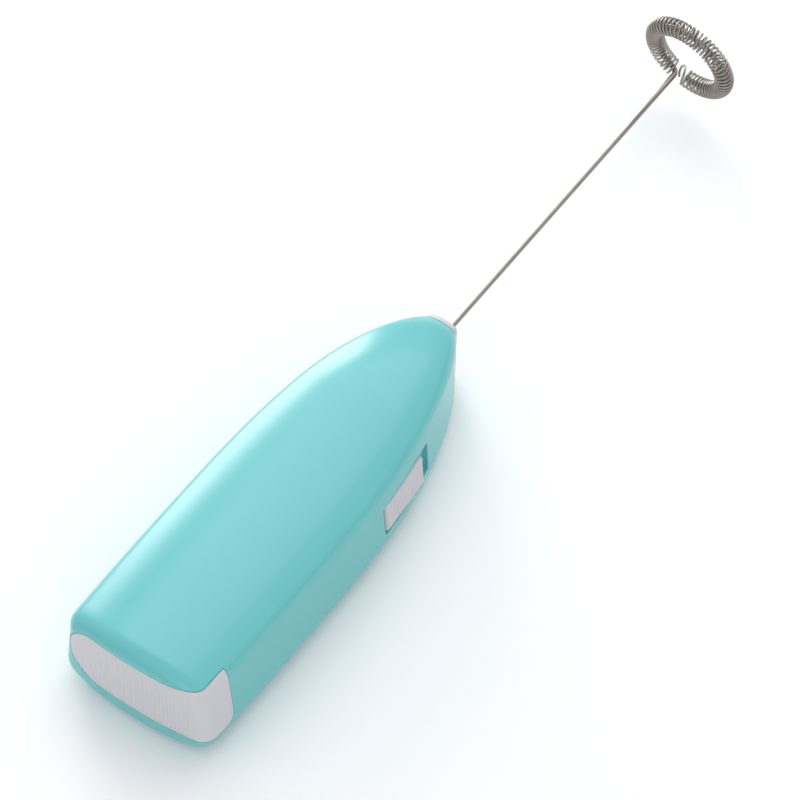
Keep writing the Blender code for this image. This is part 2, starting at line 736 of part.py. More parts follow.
def cell_spring(name, start, forward, y):
    """A conical spring of SPRING_LENGTH, whose wide end lies on its plate."""
    run = SPRING_LENGTH - 2 * SPRING_WIRE
    points = []
    count = 10 * SPRING_TURNS
    for k in range(count + 1):
        share = k / count
        turn = 2 * math.pi * SPRING_TURNS * share
        radius = SPRING_BASE + (SPRING_TIP - SPRING_BASE) * share
        along = start + forward * (SPRING_WIRE + run * share)
        points.append(at(along, y + radius * math.cos(turn),
                         CELL_HEIGHT + radius * math.sin(turn)))
    return keep(wire(name, points, SPRING_WIRE), NICKEL)


def tab_box(side, margin):
    """Corners of the tab of a front plate, which passes through the bulkhead."""
    middle = side * CELL_SPACING / 2
    height = AXIS_HEIGHT + side * TAB_HEIGHT
    reach = (TAB_WIDTH / 2 + margin, PLATE_THICKNESS / 2 + margin)
    front = BULKHEAD_FRONT + TAB_REACH + margin
    return ((PLATE - margin, middle - reach[0], height - reach[1]),
            (front, middle + reach[0], height + reach[1]))


def make_contacts():
    half = PLATE_SIDE / 2
    bridge = box("bridge_plate", (BRIDGE, -BRIDGE_HALF_WIDTH, CELL_HEIGHT - half),
                 (BRIDGE_FACE, BRIDGE_HALF_WIDTH, CELL_HEIGHT + half))
    spread = CELL_SPACING / 2
    bridge_spring = cell_spring("bridge_spring", BRIDGE_FACE + GAP, 1, spread)
    for name, side in (("positive_plate", 1), ("negative_plate", -1)):
        y = side * spread
        plate = box(name, (PLATE, y - half, AXIS_HEIGHT - half),
                    (PLATE + PLATE_THICKNESS, y + half, CELL_HEIGHT + half))
        combine(plate, tool(box("plate_tab", *tab_box(side, 0))), "UNION")
        keep(plate, NICKEL, smooth=False)
    cell_spring("negative_spring", PLATE - GAP, -1, -spread)
    return keep(bridge, NICKEL, smooth=False), bridge_spring


def can_outline(radius, half_height, steps=8):
    """A circle with its top and bottom cut flat, as (y, z) in metres about the shaft."""
    span = math.asin(half_height / radius)
    points = []
    for centre in (0, math.pi):
        for k in range(steps + 1):
            turn = centre - span + 2 * span * k / steps
            points.append((radius * MM * math.cos(turn),
                           (AXIS_HEIGHT + radius * math.sin(turn)) * MM))
    return points


def can_prism(name, start, end, inset):
    outline = can_outline(MOTOR_RADIUS - inset, MOTOR_HALF_HEIGHT - inset)
    return prism(name, outline, (REAR + start) * MM, (REAR + end) * MM, plane="YZ")


def make_motor_case():
    can = can_prism("motor_can", CAN_REAR, CAN_FRONT, 0)
    boss = rod("boss", CAN_FRONT - CAN_WALL / 2, CAN_FRONT + BOSS_LENGTH, BOSS_RADIUS)
    combine(can, tool(boss), "UNION")
    hollow = can_prism("can_hollow", CAN_REAR - CLEAR, CAN_FRONT - CAN_WALL, CAN_WALL)
    combine(can, tool(hollow), "DIFFERENCE")
    seat = BUSH_RADIUS + BEARING_GAP
    bore = rod("front_bush_seat", CAN_FRONT - CLEAR, CAN_FRONT + CLEAR, seat)
    combine(can, tool(bore), "DIFFERENCE")
    keep(can, NICKEL)
    bell = can_prism("motor_end_bell", BELL_REAR, CAN_REAR - GAP, 0)
    hollow = can_prism("bell_hollow", BELL_REAR + BELL_WALL, CAN_REAR + CLEAR, BELL_WALL)
    combine(bell, tool(hollow), "DIFFERENCE")
    bore = rod("rear_bush_seat", BELL_REAR - CLEAR, CAN_REAR, seat)
    combine(bell, tool(bore), "DIFFERENCE")
    for side in (-1, 1):
        y = side * TERMINAL_SIDE
        margin = GAP + PLATE_THICKNESS / 2
        rise = BRUSH_HALF_HEIGHT + GAP
        slot = box("terminal_slot", (BELL_REAR - CLEAR, y - margin, AXIS_HEIGHT - rise),
                   (CAN_REAR, y + margin, AXIS_HEIGHT + rise))
        combine(bell, tool(slot), "DIFFERENCE")
    keep(bell, FERRITE)
    bush = (BUSH_RADIUS, SHAFT_RADIUS + BEARING_GAP)
    keep(tube("rear_bushing", BELL_REAR, BELL_REAR + BELL_WALL, *bush), BRASS)
    keep(tube("front_bushing", CAN_FRONT - CAN_WALL, CAN_FRONT + BOSS_LENGTH, *bush), BRASS)


def arc(radius, start, end, steps):
    """Points on an arc about the shaft, as (y, z) from it."""
    turns = [start + (end - start) * k / steps for k in range(steps + 1)]
    return [(radius * math.cos(turn), radius * math.sin(turn)) for turn in turns]


def make_magnets():
    outer = MOTOR_RADIUS - CAN_WALL - GAP
    inner = outer - MAGNET_THICKNESS
    for name, centre in (("magnet_1", 0), ("magnet_2", math.pi)):
        low, high = centre - MAGNET_SPAN / 2, centre + MAGNET_SPAN / 2
        outline = arc(outer, low, high, 8) + arc(inner, high, low, 8)
        outline = [(y * MM, (AXIS_HEIGHT + z) * MM) for y, z in outline]
        start = REAR + ARMATURE_MIDDLE - MAGNET_LENGTH / 2
        magnet = prism(name, outline, start * MM, (start + MAGNET_LENGTH) * MM, plane="YZ")
        keep(magnet, FERRITE)


def make_brushes():
    for name, side in (("brush_1", 1), ("brush_2", -1)):
        y = side * TERMINAL_SIDE
        thin = PLATE_THICKNESS / 2
        tip = BELL_REAR + BRUSH_REACH
        blade = box(name, (BELL_REAR - BRUSH_TAIL, y - thin, AXIS_HEIGHT - BRUSH_HALF_HEIGHT),
                    (tip, y + thin, AXIS_HEIGHT + BRUSH_HALF_HEIGHT))
        ends = sorted((side * (COMMUTATOR_RADIUS + GAP), y + side * thin))
        leaf = box("brush_leaf", (tip - LEAF_WIDTH, ends[0], AXIS_HEIGHT - LEAF_HALF_HEIGHT),
                   (tip, ends[1], AXIS_HEIGHT + LEAF_HALF_HEIGHT))
        combine(blade, tool(leaf), "UNION")
        keep(blade, BRASS, smooth=False)


def pole_outline():
    """Three T-shaped poles round a hub, as (y, z) from the shaft."""
    half = POLE_SPAN / 2
    inner = ARMATURE_RADIUS - POLE_SHOE
    points = []
    for k in range(POLES):
        turn = 2 * math.pi * k / POLES + math.pi / 2
        side = POLE_ARM / 2
        foot = math.sqrt(POLE_HUB ** 2 - side ** 2)
        edge = ARMATURE_RADIUS * math.sin(half)
        local = [(foot, -side), (inner, -side), (inner, -edge)]
        local += arc(ARMATURE_RADIUS, -half, half, 8)
        local += [(inner, edge), (inner, side), (foot, side)]
        for r, t in local:
            points.append((r * math.cos(turn) - t * math.sin(turn),
                           r * math.sin(turn) + t * math.cos(turn)))
    return points


def make_armature():
    rear = ARMATURE_MIDDLE - ARMATURE_LENGTH / 2
    outline = [(y * MM, (AXIS_HEIGHT + z) * MM) for y, z in pole_outline()]
    core = prism("armature_core", outline, (REAR + rear) * MM,
                 (REAR + rear + ARMATURE_LENGTH) * MM, plane="YZ")
    seat = SHAFT_RADIUS + BEARING_GAP
    bore = rod("core_bore", rear - CLEAR, rear + ARMATURE_LENGTH + CLEAR, seat)
    combine(core, tool(bore), "DIFFERENCE")
    pieces = [keep(core, IRON)]
    for k in range(POLES):
        low = ARMATURE_RADIUS - POLE_SHOE - GAP - WINDING_DEPTH
        wide = POLE_ARM / 2 + GAP + WINDING_THICKNESS
        long = ARMATURE_LENGTH / 2 + GAP + WINDING_THICKNESS
        winding = local_box(f"winding_{k + 1}", (-long, -wide, low),
                            (long, wide, low + WINDING_DEPTH))
        window = local_box("winding_window", (WINDING_THICKNESS - long, WINDING_THICKNESS - wide, 0),
                           (long - WINDING_THICKNESS, wide - WINDING_THICKNESS, ARMATURE_RADIUS))
        for piece in (winding, window):
            piece.location = at(ARMATURE_MIDDLE, 0, AXIS_HEIGHT)
            piece.rotation_euler = (2 * math.pi * k / POLES, 0, 0)
        combine(winding, tool(window), "DIFFERENCE")
        pieces.append(keep(winding, COPPER, smooth=False))
    front = ARMATURE_MIDDLE - ARMATURE_LENGTH / 2 - WINDING_THICKNESS - 3 * GAP
    ring_piece = tube("commutator", front - COMMUTATOR_LENGTH, front, COMMUTATOR_RADIUS, seat)
    pieces.append(keep(ring_piece, COPPER))
    pieces.append(keep(rod("motor_shaft", BELL_REAR, SHAFT_TIP, SHAFT_RADIUS), STEEL))
    return pieces


def local_box(name, low, high):
    """A box about its object's own origin."""
    size = Vector(high) - Vector(low)
    bm = bmesh.new()
    bmesh.ops.create_cube(bm, size=1.0)
    bmesh.ops.scale(bm, vec=size * MM, verts=bm.verts)
    bmesh.ops.translate(bm, vec=(Vector(low) + size / 2) * MM, verts=bm.verts)
    return mesh_object(name, bm)


def make_coupling():
    seat, grip = SHAFT_RADIUS + BEARING_GAP, WIRE_RADIUS + BEARING_GAP
    step = SHAFT_TIP + GAP / 2
    profile = [(COUPLING_FRONT, grip), (COUPLING_FRONT, COUPLING_RADIUS),
               (COUPLING_REAR, COUPLING_RADIUS), (COUPLING_REAR, seat), (step, seat), (step, grip)]
    return keep(turned("shaft_coupling", profile), BRASS)


def hoop_frame():
    """Directions at the shaft's end: to the hoop's centre, round the wire, and square to both."""
    lean = Vector((0, -math.sin(HOOP_LEAN), math.cos(HOOP_LEAN)))
    forward = Vector((1, 0, 0))
    up = lean * math.cos(HOOP_TILT) - forward * math.sin(HOOP_TILT)
    along = Vector((0, math.cos(HOOP_LEAN), math.sin(HOOP_LEAN)))
    return up, along, up.cross(along)


def hoop_point(turn, radius=HOOP_RADIUS):
    """A point of the hoop, whose turn is 0 where the shaft meets it."""
    up, along, _ = hoop_frame()
    foot = Vector((REAR + HOOP_STATION, 0, AXIS_HEIGHT))
    return foot + up * (HOOP_RADIUS - radius * math.cos(turn)) + along * radius * math.sin(turn)


def coil_point(share):
    """A point of the coil, whose last turn is drawn out and turned to face the shaft."""
    wrap = 2 * math.pi * COIL_TURNS * share
    hook = max(COIL_TURNS * (share - 1) + 1, 0)
    turn = COIL_START + (2 * math.pi - COIL_START - COIL_END) * share + COIL_HOOK * hook
    turn -= math.tan(HOOK_TURN) * hook * COIL_RADIUS / HOOP_RADIUS * math.sin(wrap)
    point = hoop_point(turn, HOOP_RADIUS + COIL_RADIUS * math.cos(wrap))
    return point + hoop_frame()[2] * COIL_RADIUS * math.sin(wrap)


def make_whisk():
    along = hoop_frame()[1]
    forward = Vector((1, 0, 0))
    foot = Vector((REAR + HOOP_STATION, 0, AXIS_HEIGHT))
    centre = foot + (along - forward) * WIRE_BEND
    start = Vector((REAR + SHAFT_TIP + GAP, 0, AXIS_HEIGHT))
    points = [start]
    for k in range(5):
        turn = math.pi / 2 * k / 4
        points.append(centre + (forward * math.sin(turn) - along * math.cos(turn)) * WIRE_BEND)
    first = WIRE_BEND / HOOP_RADIUS
    last = 2 * math.pi - HOOP_END / HOOP_RADIUS
    for k in range(1, HOOP_POINTS + 1):
        points.append(hoop_point(first + (last - first) * k / HOOP_POINTS))
    shaft = wire("whisk_wire", [p * MM for p in points], WIRE_RADIUS)
    count = COIL_TURNS * COIL_POINTS
    coil = [coil_point(k / count) * MM for k in range(count + 1)]
    winding = wire("whisk_coil", coil, COIL_WIRE, resolution=1)
    return [keep(shaft, STEEL), keep(winding, STEEL)]


def make_switch():
    half = SWITCH_HEIGHT / 2 - GAP
    end = BUTTON_START + BUTTON_LENGTH
    floor = RECESS_DEPTH - GAP
    rise = (BUTTON_PROUD - BUTTON_REAR_PROUD) / BUTTON_LENGTH
    button = switch_box("switch_button", (BUTTON_START, -BUTTON_REAR_PROUD, -half),
                        (end, floor, half), rise)
    half_stem = SLOT_HEIGHT / 2 - GAP
    stem_end = STEM_START + STEM_LENGTH
    inner = RECESS_DEPTH + STEM_REACH
    stem = switch_box("button_stem", (STEM_START, 0, -half_stem), (stem_end, inner, half_stem))
    combine(button, tool(stem), "UNION")
    pitch = BUTTON_LENGTH / BUTTON_RIBS
    for k in range(BUTTON_RIBS - 1):
        middle = BUTTON_START + pitch * (k + 1)
        face = BUTTON_REAR_PROUD + rise * (middle - BUTTON_START)
        groove = switch_box("button_groove",
                            (middle - pitch / 4, -CLEAR, -SWITCH_HEIGHT),
                            (middle + pitch / 4, BUTTON_RIB_DEPTH - face, SWITCH_HEIGHT))
        combine(button, tool(groove), "DIFFERENCE")
    half_wiper = half_stem + WIPER_MARGIN
    wiper = switch_box("switch_wiper", (STEM_START, inner + GAP, -half_wiper),
                       (stem_end, inner + GAP + CONTACT_THICKNESS, half_wiper))
    return [keep(button, PALE_GREY, smooth=False), keep(wiper, BRASS, smooth=False)]


def make_switch_contacts():
    near = RECESS_DEPTH + STEM_REACH + 2 * GAP + CONTACT_THICKNESS
    far = near + CONTACT_THICKNESS
    start = STEM_START - CONTACT_MARGIN
    low, high = LOWER_CONTACT
    lower = switch_box("switch_contact_1", (start, near, low), (CONTACT_END, far, high))
    pad = STEM_START + STEM_LENGTH + GAP
    low, high = UPPER_CONTACT
    upper = switch_box("switch_contact_2", (pad, near, low), (CONTACT_END, far, high))
    tail = switch_box("contact_tail", (start, near, TAIL_START), (CONTACT_END, far, high))
    combine(upper, tool(tail), "UNION")
    keep(lower, BRASS, smooth=False)
    keep(upper, BRASS, smooth=False)
    return far


def make_leads(contact_depth):
    """Short leads in the space between the bulkhead and the motor."""
    middle = BULKHEAD_FRONT + TAB_REACH + GAP + LEAD_RADIUS
    spread = CELL_SPACING / 2
    beside = TERMINAL_SIDE + PLATE_THICKNESS / 2 + GAP + LEAD_RADIUS

    def inside(y, z):
        return at(middle, y, AXIS_HEIGHT + z)

    positive = [inside(spread, TAB_HEIGHT + 0.6), inside(spread, 2.6), inside(beside + 0.3, 1.0),
                inside(beside, -0.6)]
    keep(wire("battery_lead", eased(positive), LEAD_RADIUS), RED)
    depth = contact_depth + GAP + LEAD_RADIUS
    negative = [inside(-spread, -TAB_HEIGHT - 0.6), inside(-spread - 0.5, -2.8),
                inside(-spread - 1.8, -1.9), switch_point(STEM_START + 1, depth, -1.3)]
    keep(wire("switch_lead", eased(negative), LEAD_RADIUS), BLACK)
    motor = [switch_point(STEM_START + 1, depth, 2.7), inside(-spread - 1.8, 2.6),
             inside(-beside - 0.6, 1.6), inside(-beside, -0.4)]
    keep(wire("motor_lead", eased(motor), LEAD_RADIUS), BLACK)


def ride_on(name, location, pieces):
    """Parents pieces to an empty on their joint's axis."""
    axis = bpy.data.objects.new(name, None)
    axis.location = location
    PARTS.objects.link(axis)
    for piece in pieces:
        piece.parent = axis
        piece.matrix_parent_inverse = Matrix.Translation(-Vector(location))


def build():
    make_sleeve()
    make_collar()
    cap = make_end_cap()
    make_chassis()
    make_cells()
    bridge, bridge_spring = make_contacts()
    make_motor_case()
    make_magnets()
    make_brushes()
    rotor = make_armature() + [make_coupling()] + make_whisk()
    ride_on("whisk_axis", at(BELL_REAR, 0, AXIS_HEIGHT), rotor)
    ride_on("cap_slide", at(0, 0, AXIS_HEIGHT), [cap, bridge, bridge_spring])
    ride_on("switch_slide", SWITCH_ORIGIN * MM, make_switch())
    make_leads(make_switch_contacts())


build()
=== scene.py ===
"""Looks of a battery milk frother: a turquoise handle, pale grey trim and a coiled steel whisk.

Lengths are in millimetres until they are put into a mesh, which is in metres. +X runs along the
whisk, +Z is up, and a station is a distance from the rear end of the handle.
"""

import json
import math

import bpy
import numpy as np
from mathutils import Matrix


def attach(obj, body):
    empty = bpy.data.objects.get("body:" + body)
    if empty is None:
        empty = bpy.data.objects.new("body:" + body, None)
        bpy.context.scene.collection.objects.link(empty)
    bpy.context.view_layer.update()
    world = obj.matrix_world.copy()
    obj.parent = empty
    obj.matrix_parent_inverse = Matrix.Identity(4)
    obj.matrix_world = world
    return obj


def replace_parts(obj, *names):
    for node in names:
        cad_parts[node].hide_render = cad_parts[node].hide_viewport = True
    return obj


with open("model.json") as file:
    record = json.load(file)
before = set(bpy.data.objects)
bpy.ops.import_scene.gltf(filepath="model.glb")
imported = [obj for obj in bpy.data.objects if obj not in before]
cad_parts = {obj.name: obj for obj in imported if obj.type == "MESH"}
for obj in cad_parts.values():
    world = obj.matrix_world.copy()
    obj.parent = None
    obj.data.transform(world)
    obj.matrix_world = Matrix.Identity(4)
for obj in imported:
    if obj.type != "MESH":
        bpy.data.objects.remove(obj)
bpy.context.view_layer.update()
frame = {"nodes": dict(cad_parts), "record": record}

MM = 0.001

# The handle's outside, as in the solids.
LENGTH = 108.0
REAR = -LENGTH / 2
HALF_WIDTH = 18.8
HEIGHT = 23.8
AXIS = 10.9
WALL = 1.8
WIDEST = 42.5
NOSE_POWER, NOSE_ROOT = 2.38, 0.635
REAR_NARROWING = 0.042
PROFILE = 74.3
NOSE_RISE, NOSE_DROP = 2.6, 7.5
NOSE_END = 107.6
TOP_CROWN, BELLY_CROWN, BELLY_FLAT = 3.9, 2.4, 4.6
SIDE_DRAFT = 2.1
TOP_RADIUS, FOOT_RADIUS, REAR_RADIUS = 3.3, 4.4, 2.8
TOP_SHARE, FOOT_SHARE, ARC_ROOM = 0.8, 0.95, 0.45  # of the straight stretches beside an arc
LEAST_WIDTH, LEAST_RADIUS = 0.3, 0.8
REAR_BOW, BOW_FADE = 1.8, 12.0
CROWN_STEPS, ARC_STEPS, SIDE_STEPS = 14, 12, 7

PLAY = 0.3   # between pieces that slide or slip into each other
CLEAR = 5.0  # how far a cutter runs past what it cuts

# The rear opening, the cap in it, and the collar at the nose.
LIP_TOP, LIP_BOTTOM = 20.4, 5.4
RIM = 2.0
END_RIM, END_RADIUS = 2.8, 7.0
GRIP_LENGTH, GRIP_RADIUS, GRIP_CURVE = 8.0, 2.0, 0.2
CAP_WALL, GRIP_WEB = 2.4, 1.8
CAP_GAP = 0.08
TONGUE_HALF_WIDTH, TONGUE_END, TONGUE_GAP, TONGUE_DEPTH = 2.8, 9.0, 0.5, 1.2
RIB_PITCH, RIB_DEPTH, RIB_HALF_SPAN = 0.9, 0.12, 13.5
RIB_START, RIB_LAP, RIB_STEPS = 0.7, 0.05, 12
COLLAR_STATION, COLLAR_END, COLLAR_EDGE = 105.4, 106.7, 0.5
PLUG_LENGTH, PLUG_LAP = 3.9, 0.4
NOSE_BORE = 1.1

# The cells: how far their middles lie to the side and above the axis, and where their film ends.
CELL_SIDE, CELL_RISE, CELL_RADIUS, CELL_PLAY = 7.6, 2.0, 7.25, 0.45
CELL_FILM, CELL_BAND = 6.9, 20.0

# The switch, in its own frame: along the slide, inwards, and up the side.
SWITCH_START, SWITCH_END = 59.9, 79.1
SWITCH_HEIGHT, SWITCH_MIDDLE = 8.4, 10.7
RECESS_DEPTH = 1.0
BUTTON_START, BUTTON_LENGTH = 0.9, 14.9
BUTTON_REAR_PROUD, BUTTON_PROUD = 0.1, 1.0
BUTTON_RIBS, BUTTON_RIB_DEPTH = 13, 0.28
BUTTON_ROLL, BUTTON_SINK, BUTTON_FLOAT = 0.45, 0.7, 0.25
RECESS_CORNER, BACKING_START = 0.8, 1.9
SLOT_HEIGHT, STEM_START, STEM_LENGTH, STEM_REACH = 3.4, 3.1, 8.0, 2.6
SWITCH_TRAVEL = 2.2

# The whisk.
WIRE_RADIUS = 0.65
WIRE_START = 98.6
WIRE_BEND = 1.6
HOOP_STATION = 203.9
HOOP_RADIUS = 9.8
HOOP_LEAN, HOOP_TILT = math.radians(23), math.radians(16.5)
HOOP_END = 2.6
COIL_RADIUS, COIL_WIRE, COIL_TURNS = 1.92, 0.28, 56
COIL_START, COIL_END = math.radians(6.5), math.radians(8)
COIL_HOOK, HOOK_TURN = math.radians(2), math.radians(40)
SHAFT_STEPS, BEND_STEPS, HOOP_STEPS, COIL_STEPS = 40, 10, 120, 24
WIRE_SIDES, COIL_SIDES = 16, 8

# The camera, for a 36 mm sensor, and the room: its brightness at two heights of the view's
# direction, and its square lights, each with a place in metres, a size and a power in watts.
CAMERA_PLACE = (-291.58, -198.03, 496.1)
CAMERA_AZIMUTH, CAMERA_DEPRESSION, CAMERA_ROLL = 0.542, 0.907, 0.069
SENSOR, LENS = 36, 133.5
ROOM_LOW, ROOM_HIGH = 0.32, 0.9
LOW_VIEW, HIGH_VIEW = -0.05, 0.45
LIGHTS = (
    ("key", (0.60, 0.80, 0.27), 0.45, 5.0),
    ("overhead", (0.56, 0.25, 0.90), 0.9, 3.6),
    ("fill", (-0.76, -0.48, 0.42), 0.6, 1.4),
)
TABLE_REACH, TABLE_DROP = 3000.0, 0.05


# Shapes.

def unit(v):
    """Vectors over their lengths."""
    return v / np.linalg.norm(v, axis=-1, keepdims=True)


def rounded(corner, towards, away, radius, steps):
    """An arc that touches both legs of a corner.

    Its centre lies on the corner's bisector, at the radius over the sine of half the angle.
    """
    half = 0.5 * np.arccos(np.clip((towards * away).sum(-1), -1, 1))
    centre = corner + unit(towards + away) * (radius / np.sin(half))[:, None]
    reach = (radius / np.tan(half))[:, None]
    start, end = corner + towards * reach - centre, corner + away * reach - centre
    first = np.arctan2(start[:, 1], start[:, 0])
    sweep = np.arctan2(end[:, 1], end[:, 0]) - first
    sweep = (sweep + math.pi) % (2 * math.pi) - math.pi
    turn = first[:, None] + sweep[:, None] * np.linspace(0, 1, steps + 1)
    circle = np.stack([np.cos(turn), np.sin(turn)], -1)
    return centre[:, None] + radius[:, None, None] * circle


def sections(station, inset):
    """Cross-sections of the handle, a row a station, as y and z from the whisk's axis.

    A half is a parabola over the crowned top, an arc at the shoulder, a straight side, an arc at
    the foot, and a parabola down to the flat strip of the belly. The other half mirrors it.
    """
    station, inset = np.broadcast_arrays(np.asarray(station, float), np.asarray(inset, float))
    nose = np.clip((station - WIDEST) / (LENGTH - WIDEST), 0, 1)
    rear = np.clip(1 - station / WIDEST, 0, None)
    width = HALF_WIDTH * (1 - REAR_NARROWING * rear ** 2.5) * (1 - nose ** NOSE_POWER) ** NOSE_ROOT
    width = np.maximum(width - inset, LEAST_WIDTH)
    run = np.clip((station - PROFILE) / (LENGTH - PROFILE), 0, 1)
    share = np.sqrt(1 - run ** 2)
    above = NOSE_RISE + (HEIGHT - AXIS - NOSE_RISE) * share - inset
    below = NOSE_DROP + (AXIS - NOSE_DROP) * share - inset
    part = width / HALF_WIDTH
    crown = np.minimum(TOP_CROWN * part, 0.5 * above)
    belly = np.minimum(BELLY_CROWN * part, 0.5 * below)
    flat = BELLY_FLAT * part
    shoulder = width - SIDE_DRAFT * np.minimum(part, 1)
    corner = np.stack([shoulder, above - crown], -1)
    foot = np.stack([width, belly - below], -1)
    side = unit(foot - corner)
    over = unit(np.stack([-shoulder, 2 * crown], -1))
    under = unit(np.stack([flat - width, -2 * belly], -1))
    room = ARC_ROOM * np.minimum(np.linalg.norm(foot - corner, axis=-1), shoulder)
    top_arc, foot_arc = (np.minimum(np.maximum(radius - inset, LEAST_RADIUS), most * room)
                         for radius, most in ((TOP_RADIUS, TOP_SHARE), (FOOT_RADIUS, FOOT_SHARE)))
    top = rounded(corner, over, side, top_arc, ARC_STEPS)
    bottom = rounded(foot, -side, under, foot_arc, ARC_STEPS)
    t = np.linspace(0, 1, CROWN_STEPS + 1)[:-1]
    y = top[:, :1, 0] * t
    crown_line = np.stack([y, above[:, None] - (above - top[:, 0, 1])[:, None] * t ** 2], -1)
    t = np.linspace(0, 1, SIDE_STEPS + 1)[1:-1, None]
    side_line = top[:, -1:] * (1 - t) + bottom[:, :1] * t
    t = np.linspace(1, 0, SIDE_STEPS + 1)[1:]
    y = flat[:, None] + (bottom[:, -1, 0] - flat)[:, None] * t
    belly_line = np.stack([y, (bottom[:, -1, 1] + below)[:, None] * t ** 2 - below[:, None]], -1)
    half = np.concatenate([crown_line, top, side_line, bottom, belly_line], 1)
    return np.concatenate([half, (half * [-1, 1])[:, :0:-1]], 1)


def skin(station, inset, bowed=True):
    """Rings of the handle's surface, whose rear bows out by a parabola that fades forwards."""
    ring = sections(station, inset)
    station = np.broadcast_to(station, ring.shape[:1])[:, None]
    fade = np.clip(1 - station / BOW_FADE, 0, None) ** 2 if bowed else 0
    x = REAR + station - REAR_BOW * (1 - (ring[..., 0] / HALF_WIDTH) ** 2) * fade
    return np.stack([x, ring[..., 0], ring[..., 1] + AXIS], -1)


def crowding(start, end, count):
    """Stations that lie closer together towards the end, as the sine of an even turn does."""
    return start + (end - start) * np.sin(math.pi / 2 * np.linspace(0, 1, count))


def outside(count=110):
    """The whole outside: rings that shrink to the middle of the rear face, its edge rolled over by
    a quarter circle, and the body."""
    turn = np.linspace(0, math.pi / 2, 10)
    edge = skin(REAR_RADIUS * (1 - np.cos(turn)), REAR_RADIUS * (1 - np.sin(turn)))
    share = np.linspace(0.02, 1, 16)[:-1, None]
    y, z = edge[0, :, 1] * share, AXIS + (edge[0, :, 2] - AXIS) * share
    face = np.stack([REAR - REAR_BOW * (1 - (y / HALF_WIDTH) ** 2), y, z], -1)
    return np.concatenate([face, edge, skin(crowding(REAR_RADIUS, NOSE_END, count)[1:], 0)])


def inside(start, end, inset, count=50):
    """Rings of the same cross-sections set inwards by a wall or a wall and a gap."""
    return skin(crowding(start, end, count), inset, bowed=False)


def new_mesh(name, points, faces):
    """An object at the origin from points in millimetres."""
    mesh = bpy.data.meshes.new(name)
    mesh.from_pydata((points * MM).tolist(), [], faces)
    mesh.validate()
    obj = bpy.data.objects.new(name, mesh)
    bpy.context.scene.collection.objects.link(obj)
    return obj


def grid_faces(rows, columns):
    """Quads of a grid whose columns close round, numbered row by row."""
    r = np.arange(rows - 1)[:, None]
    c = np.arange(columns)[None]
    down, right = r + 1, (c + 1) % columns
    quads = np.stack([r * columns + c, r * columns + right, down * columns + right,
                      down * columns + c], -1)
    return quads.reshape(-1, 4)


def quads_of(rows, columns):
    """Quads of an open grid, numbered row by row."""
    r, c = np.meshgrid(np.arange(rows - 1), np.arange(columns - 1), indexing="ij")
    first = (r * columns + c).reshape(-1)
    return np.stack([first, first + 1, first + columns + 1, first + columns], -1)


def lofted(name, rings):
    """A closed skin over rings, whose two end rings are each filled with a fan to their middle."""
    rows, columns = rings.shape[:2]
    points = np.concatenate([rings.reshape(-1, 3), rings[:1].mean(1), rings[-1:].mean(1)])
    here = np.arange(columns)
    there = (here + 1) % columns
    last = (rows - 1) * columns
    rear = np.stack([there, here, np.full(columns, rows * columns)], -1)
    front = np.stack([last + here, last + there, np.full(columns, rows * columns + 1)], -1)
    faces = grid_faces(rows, columns).tolist() + rear.tolist() + front.tolist()
    return facing_out(new_mesh(name, points, faces))


def facing_out(obj):
    """Turns a closed mesh right side out, so that the sum of its corner tetrahedra is positive."""
    mesh = obj.data
    mesh.calc_loop_triangles()
    points = np.empty(len(mesh.vertices) * 3, np.float32)
    mesh.vertices.foreach_get("co", points)
    corners = np.empty(len(mesh.loop_triangles) * 3, np.int32)
    mesh.loop_triangles.foreach_get("vertices", corners)
    a, b, c = points.reshape(-1, 3).astype(float)[corners.reshape(-1, 3)].transpose(1, 0, 2)
    if np.einsum("ij,ij->i", a, np.cross(b, c)).sum() < 0:
        mesh.flip_normals()
    return obj


def tube(name, path, radius, guide, sides):
    """A round wire: circles square to a path, each started from its guide's direction."""
    forward = unit(np.gradient(path, axis=0))
    guide = np.broadcast_to(guide, path.shape)
    up = unit(guide - forward * (guide * forward).sum(-1, keepdims=True))
    across = np.cross(forward, up)
    turn = np.linspace(0, 2 * math.pi, sides, endpoint=False)[None, :, None]
    return lofted(name, path[:, None] + radius * (np.cos(turn) * up[:, None]
                                                  + np.sin(turn) * across[:, None]))


def turned(name, profile, steps):
    """A profile of stations and radii carried round the whisk's axis, closed at both ends."""
    profile = np.array(profile, float)
    turn = np.linspace(0, 2 * math.pi, steps, endpoint=False)
    rings = np.stack([
        np.broadcast_to(REAR + profile[:, :1], (len(profile), steps)),
        profile[:, 1:] * np.cos(turn),
        AXIS + profile[:, 1:] * np.sin(turn)], -1)
    return lofted(name, rings)


def block(name, low, high, place=None):
    """A box between two corners, in the handle's frame or in another."""
    low, high = np.array(low, float), np.array(high, float)
    pick = np.array([[i >> 2 & 1, i >> 1 & 1, i & 1] for i in range(8)])
    points = low + (high - low) * pick
    faces = [[0, 1, 3, 2], [4, 6, 7, 5], [0, 4, 5, 1], [2, 3, 7, 6], [0, 2, 6, 4], [1, 5, 7, 3]]
    return facing_out(new_mesh(name, points if place is None else place(points), faces))


def prism(name, outline, low, high, across):
    """A flat outline carried straight along one axis: 0 for a YZ outline, 1 for XZ, 2 for XY."""
    outline = np.array(outline, float)
    rings = np.zeros((2, len(outline), 3))
    flat = [k for k in range(3) if k != across]
    rings[..., flat] = outline
    rings[0, :, across], rings[1, :, across] = low, high
    count = len(outline)
    faces = grid_faces(2, count).tolist()
    faces += [list(range(count))[::-1], list(range(count, 2 * count))]
    return facing_out(new_mesh(name, rings.reshape(-1, 3), faces))


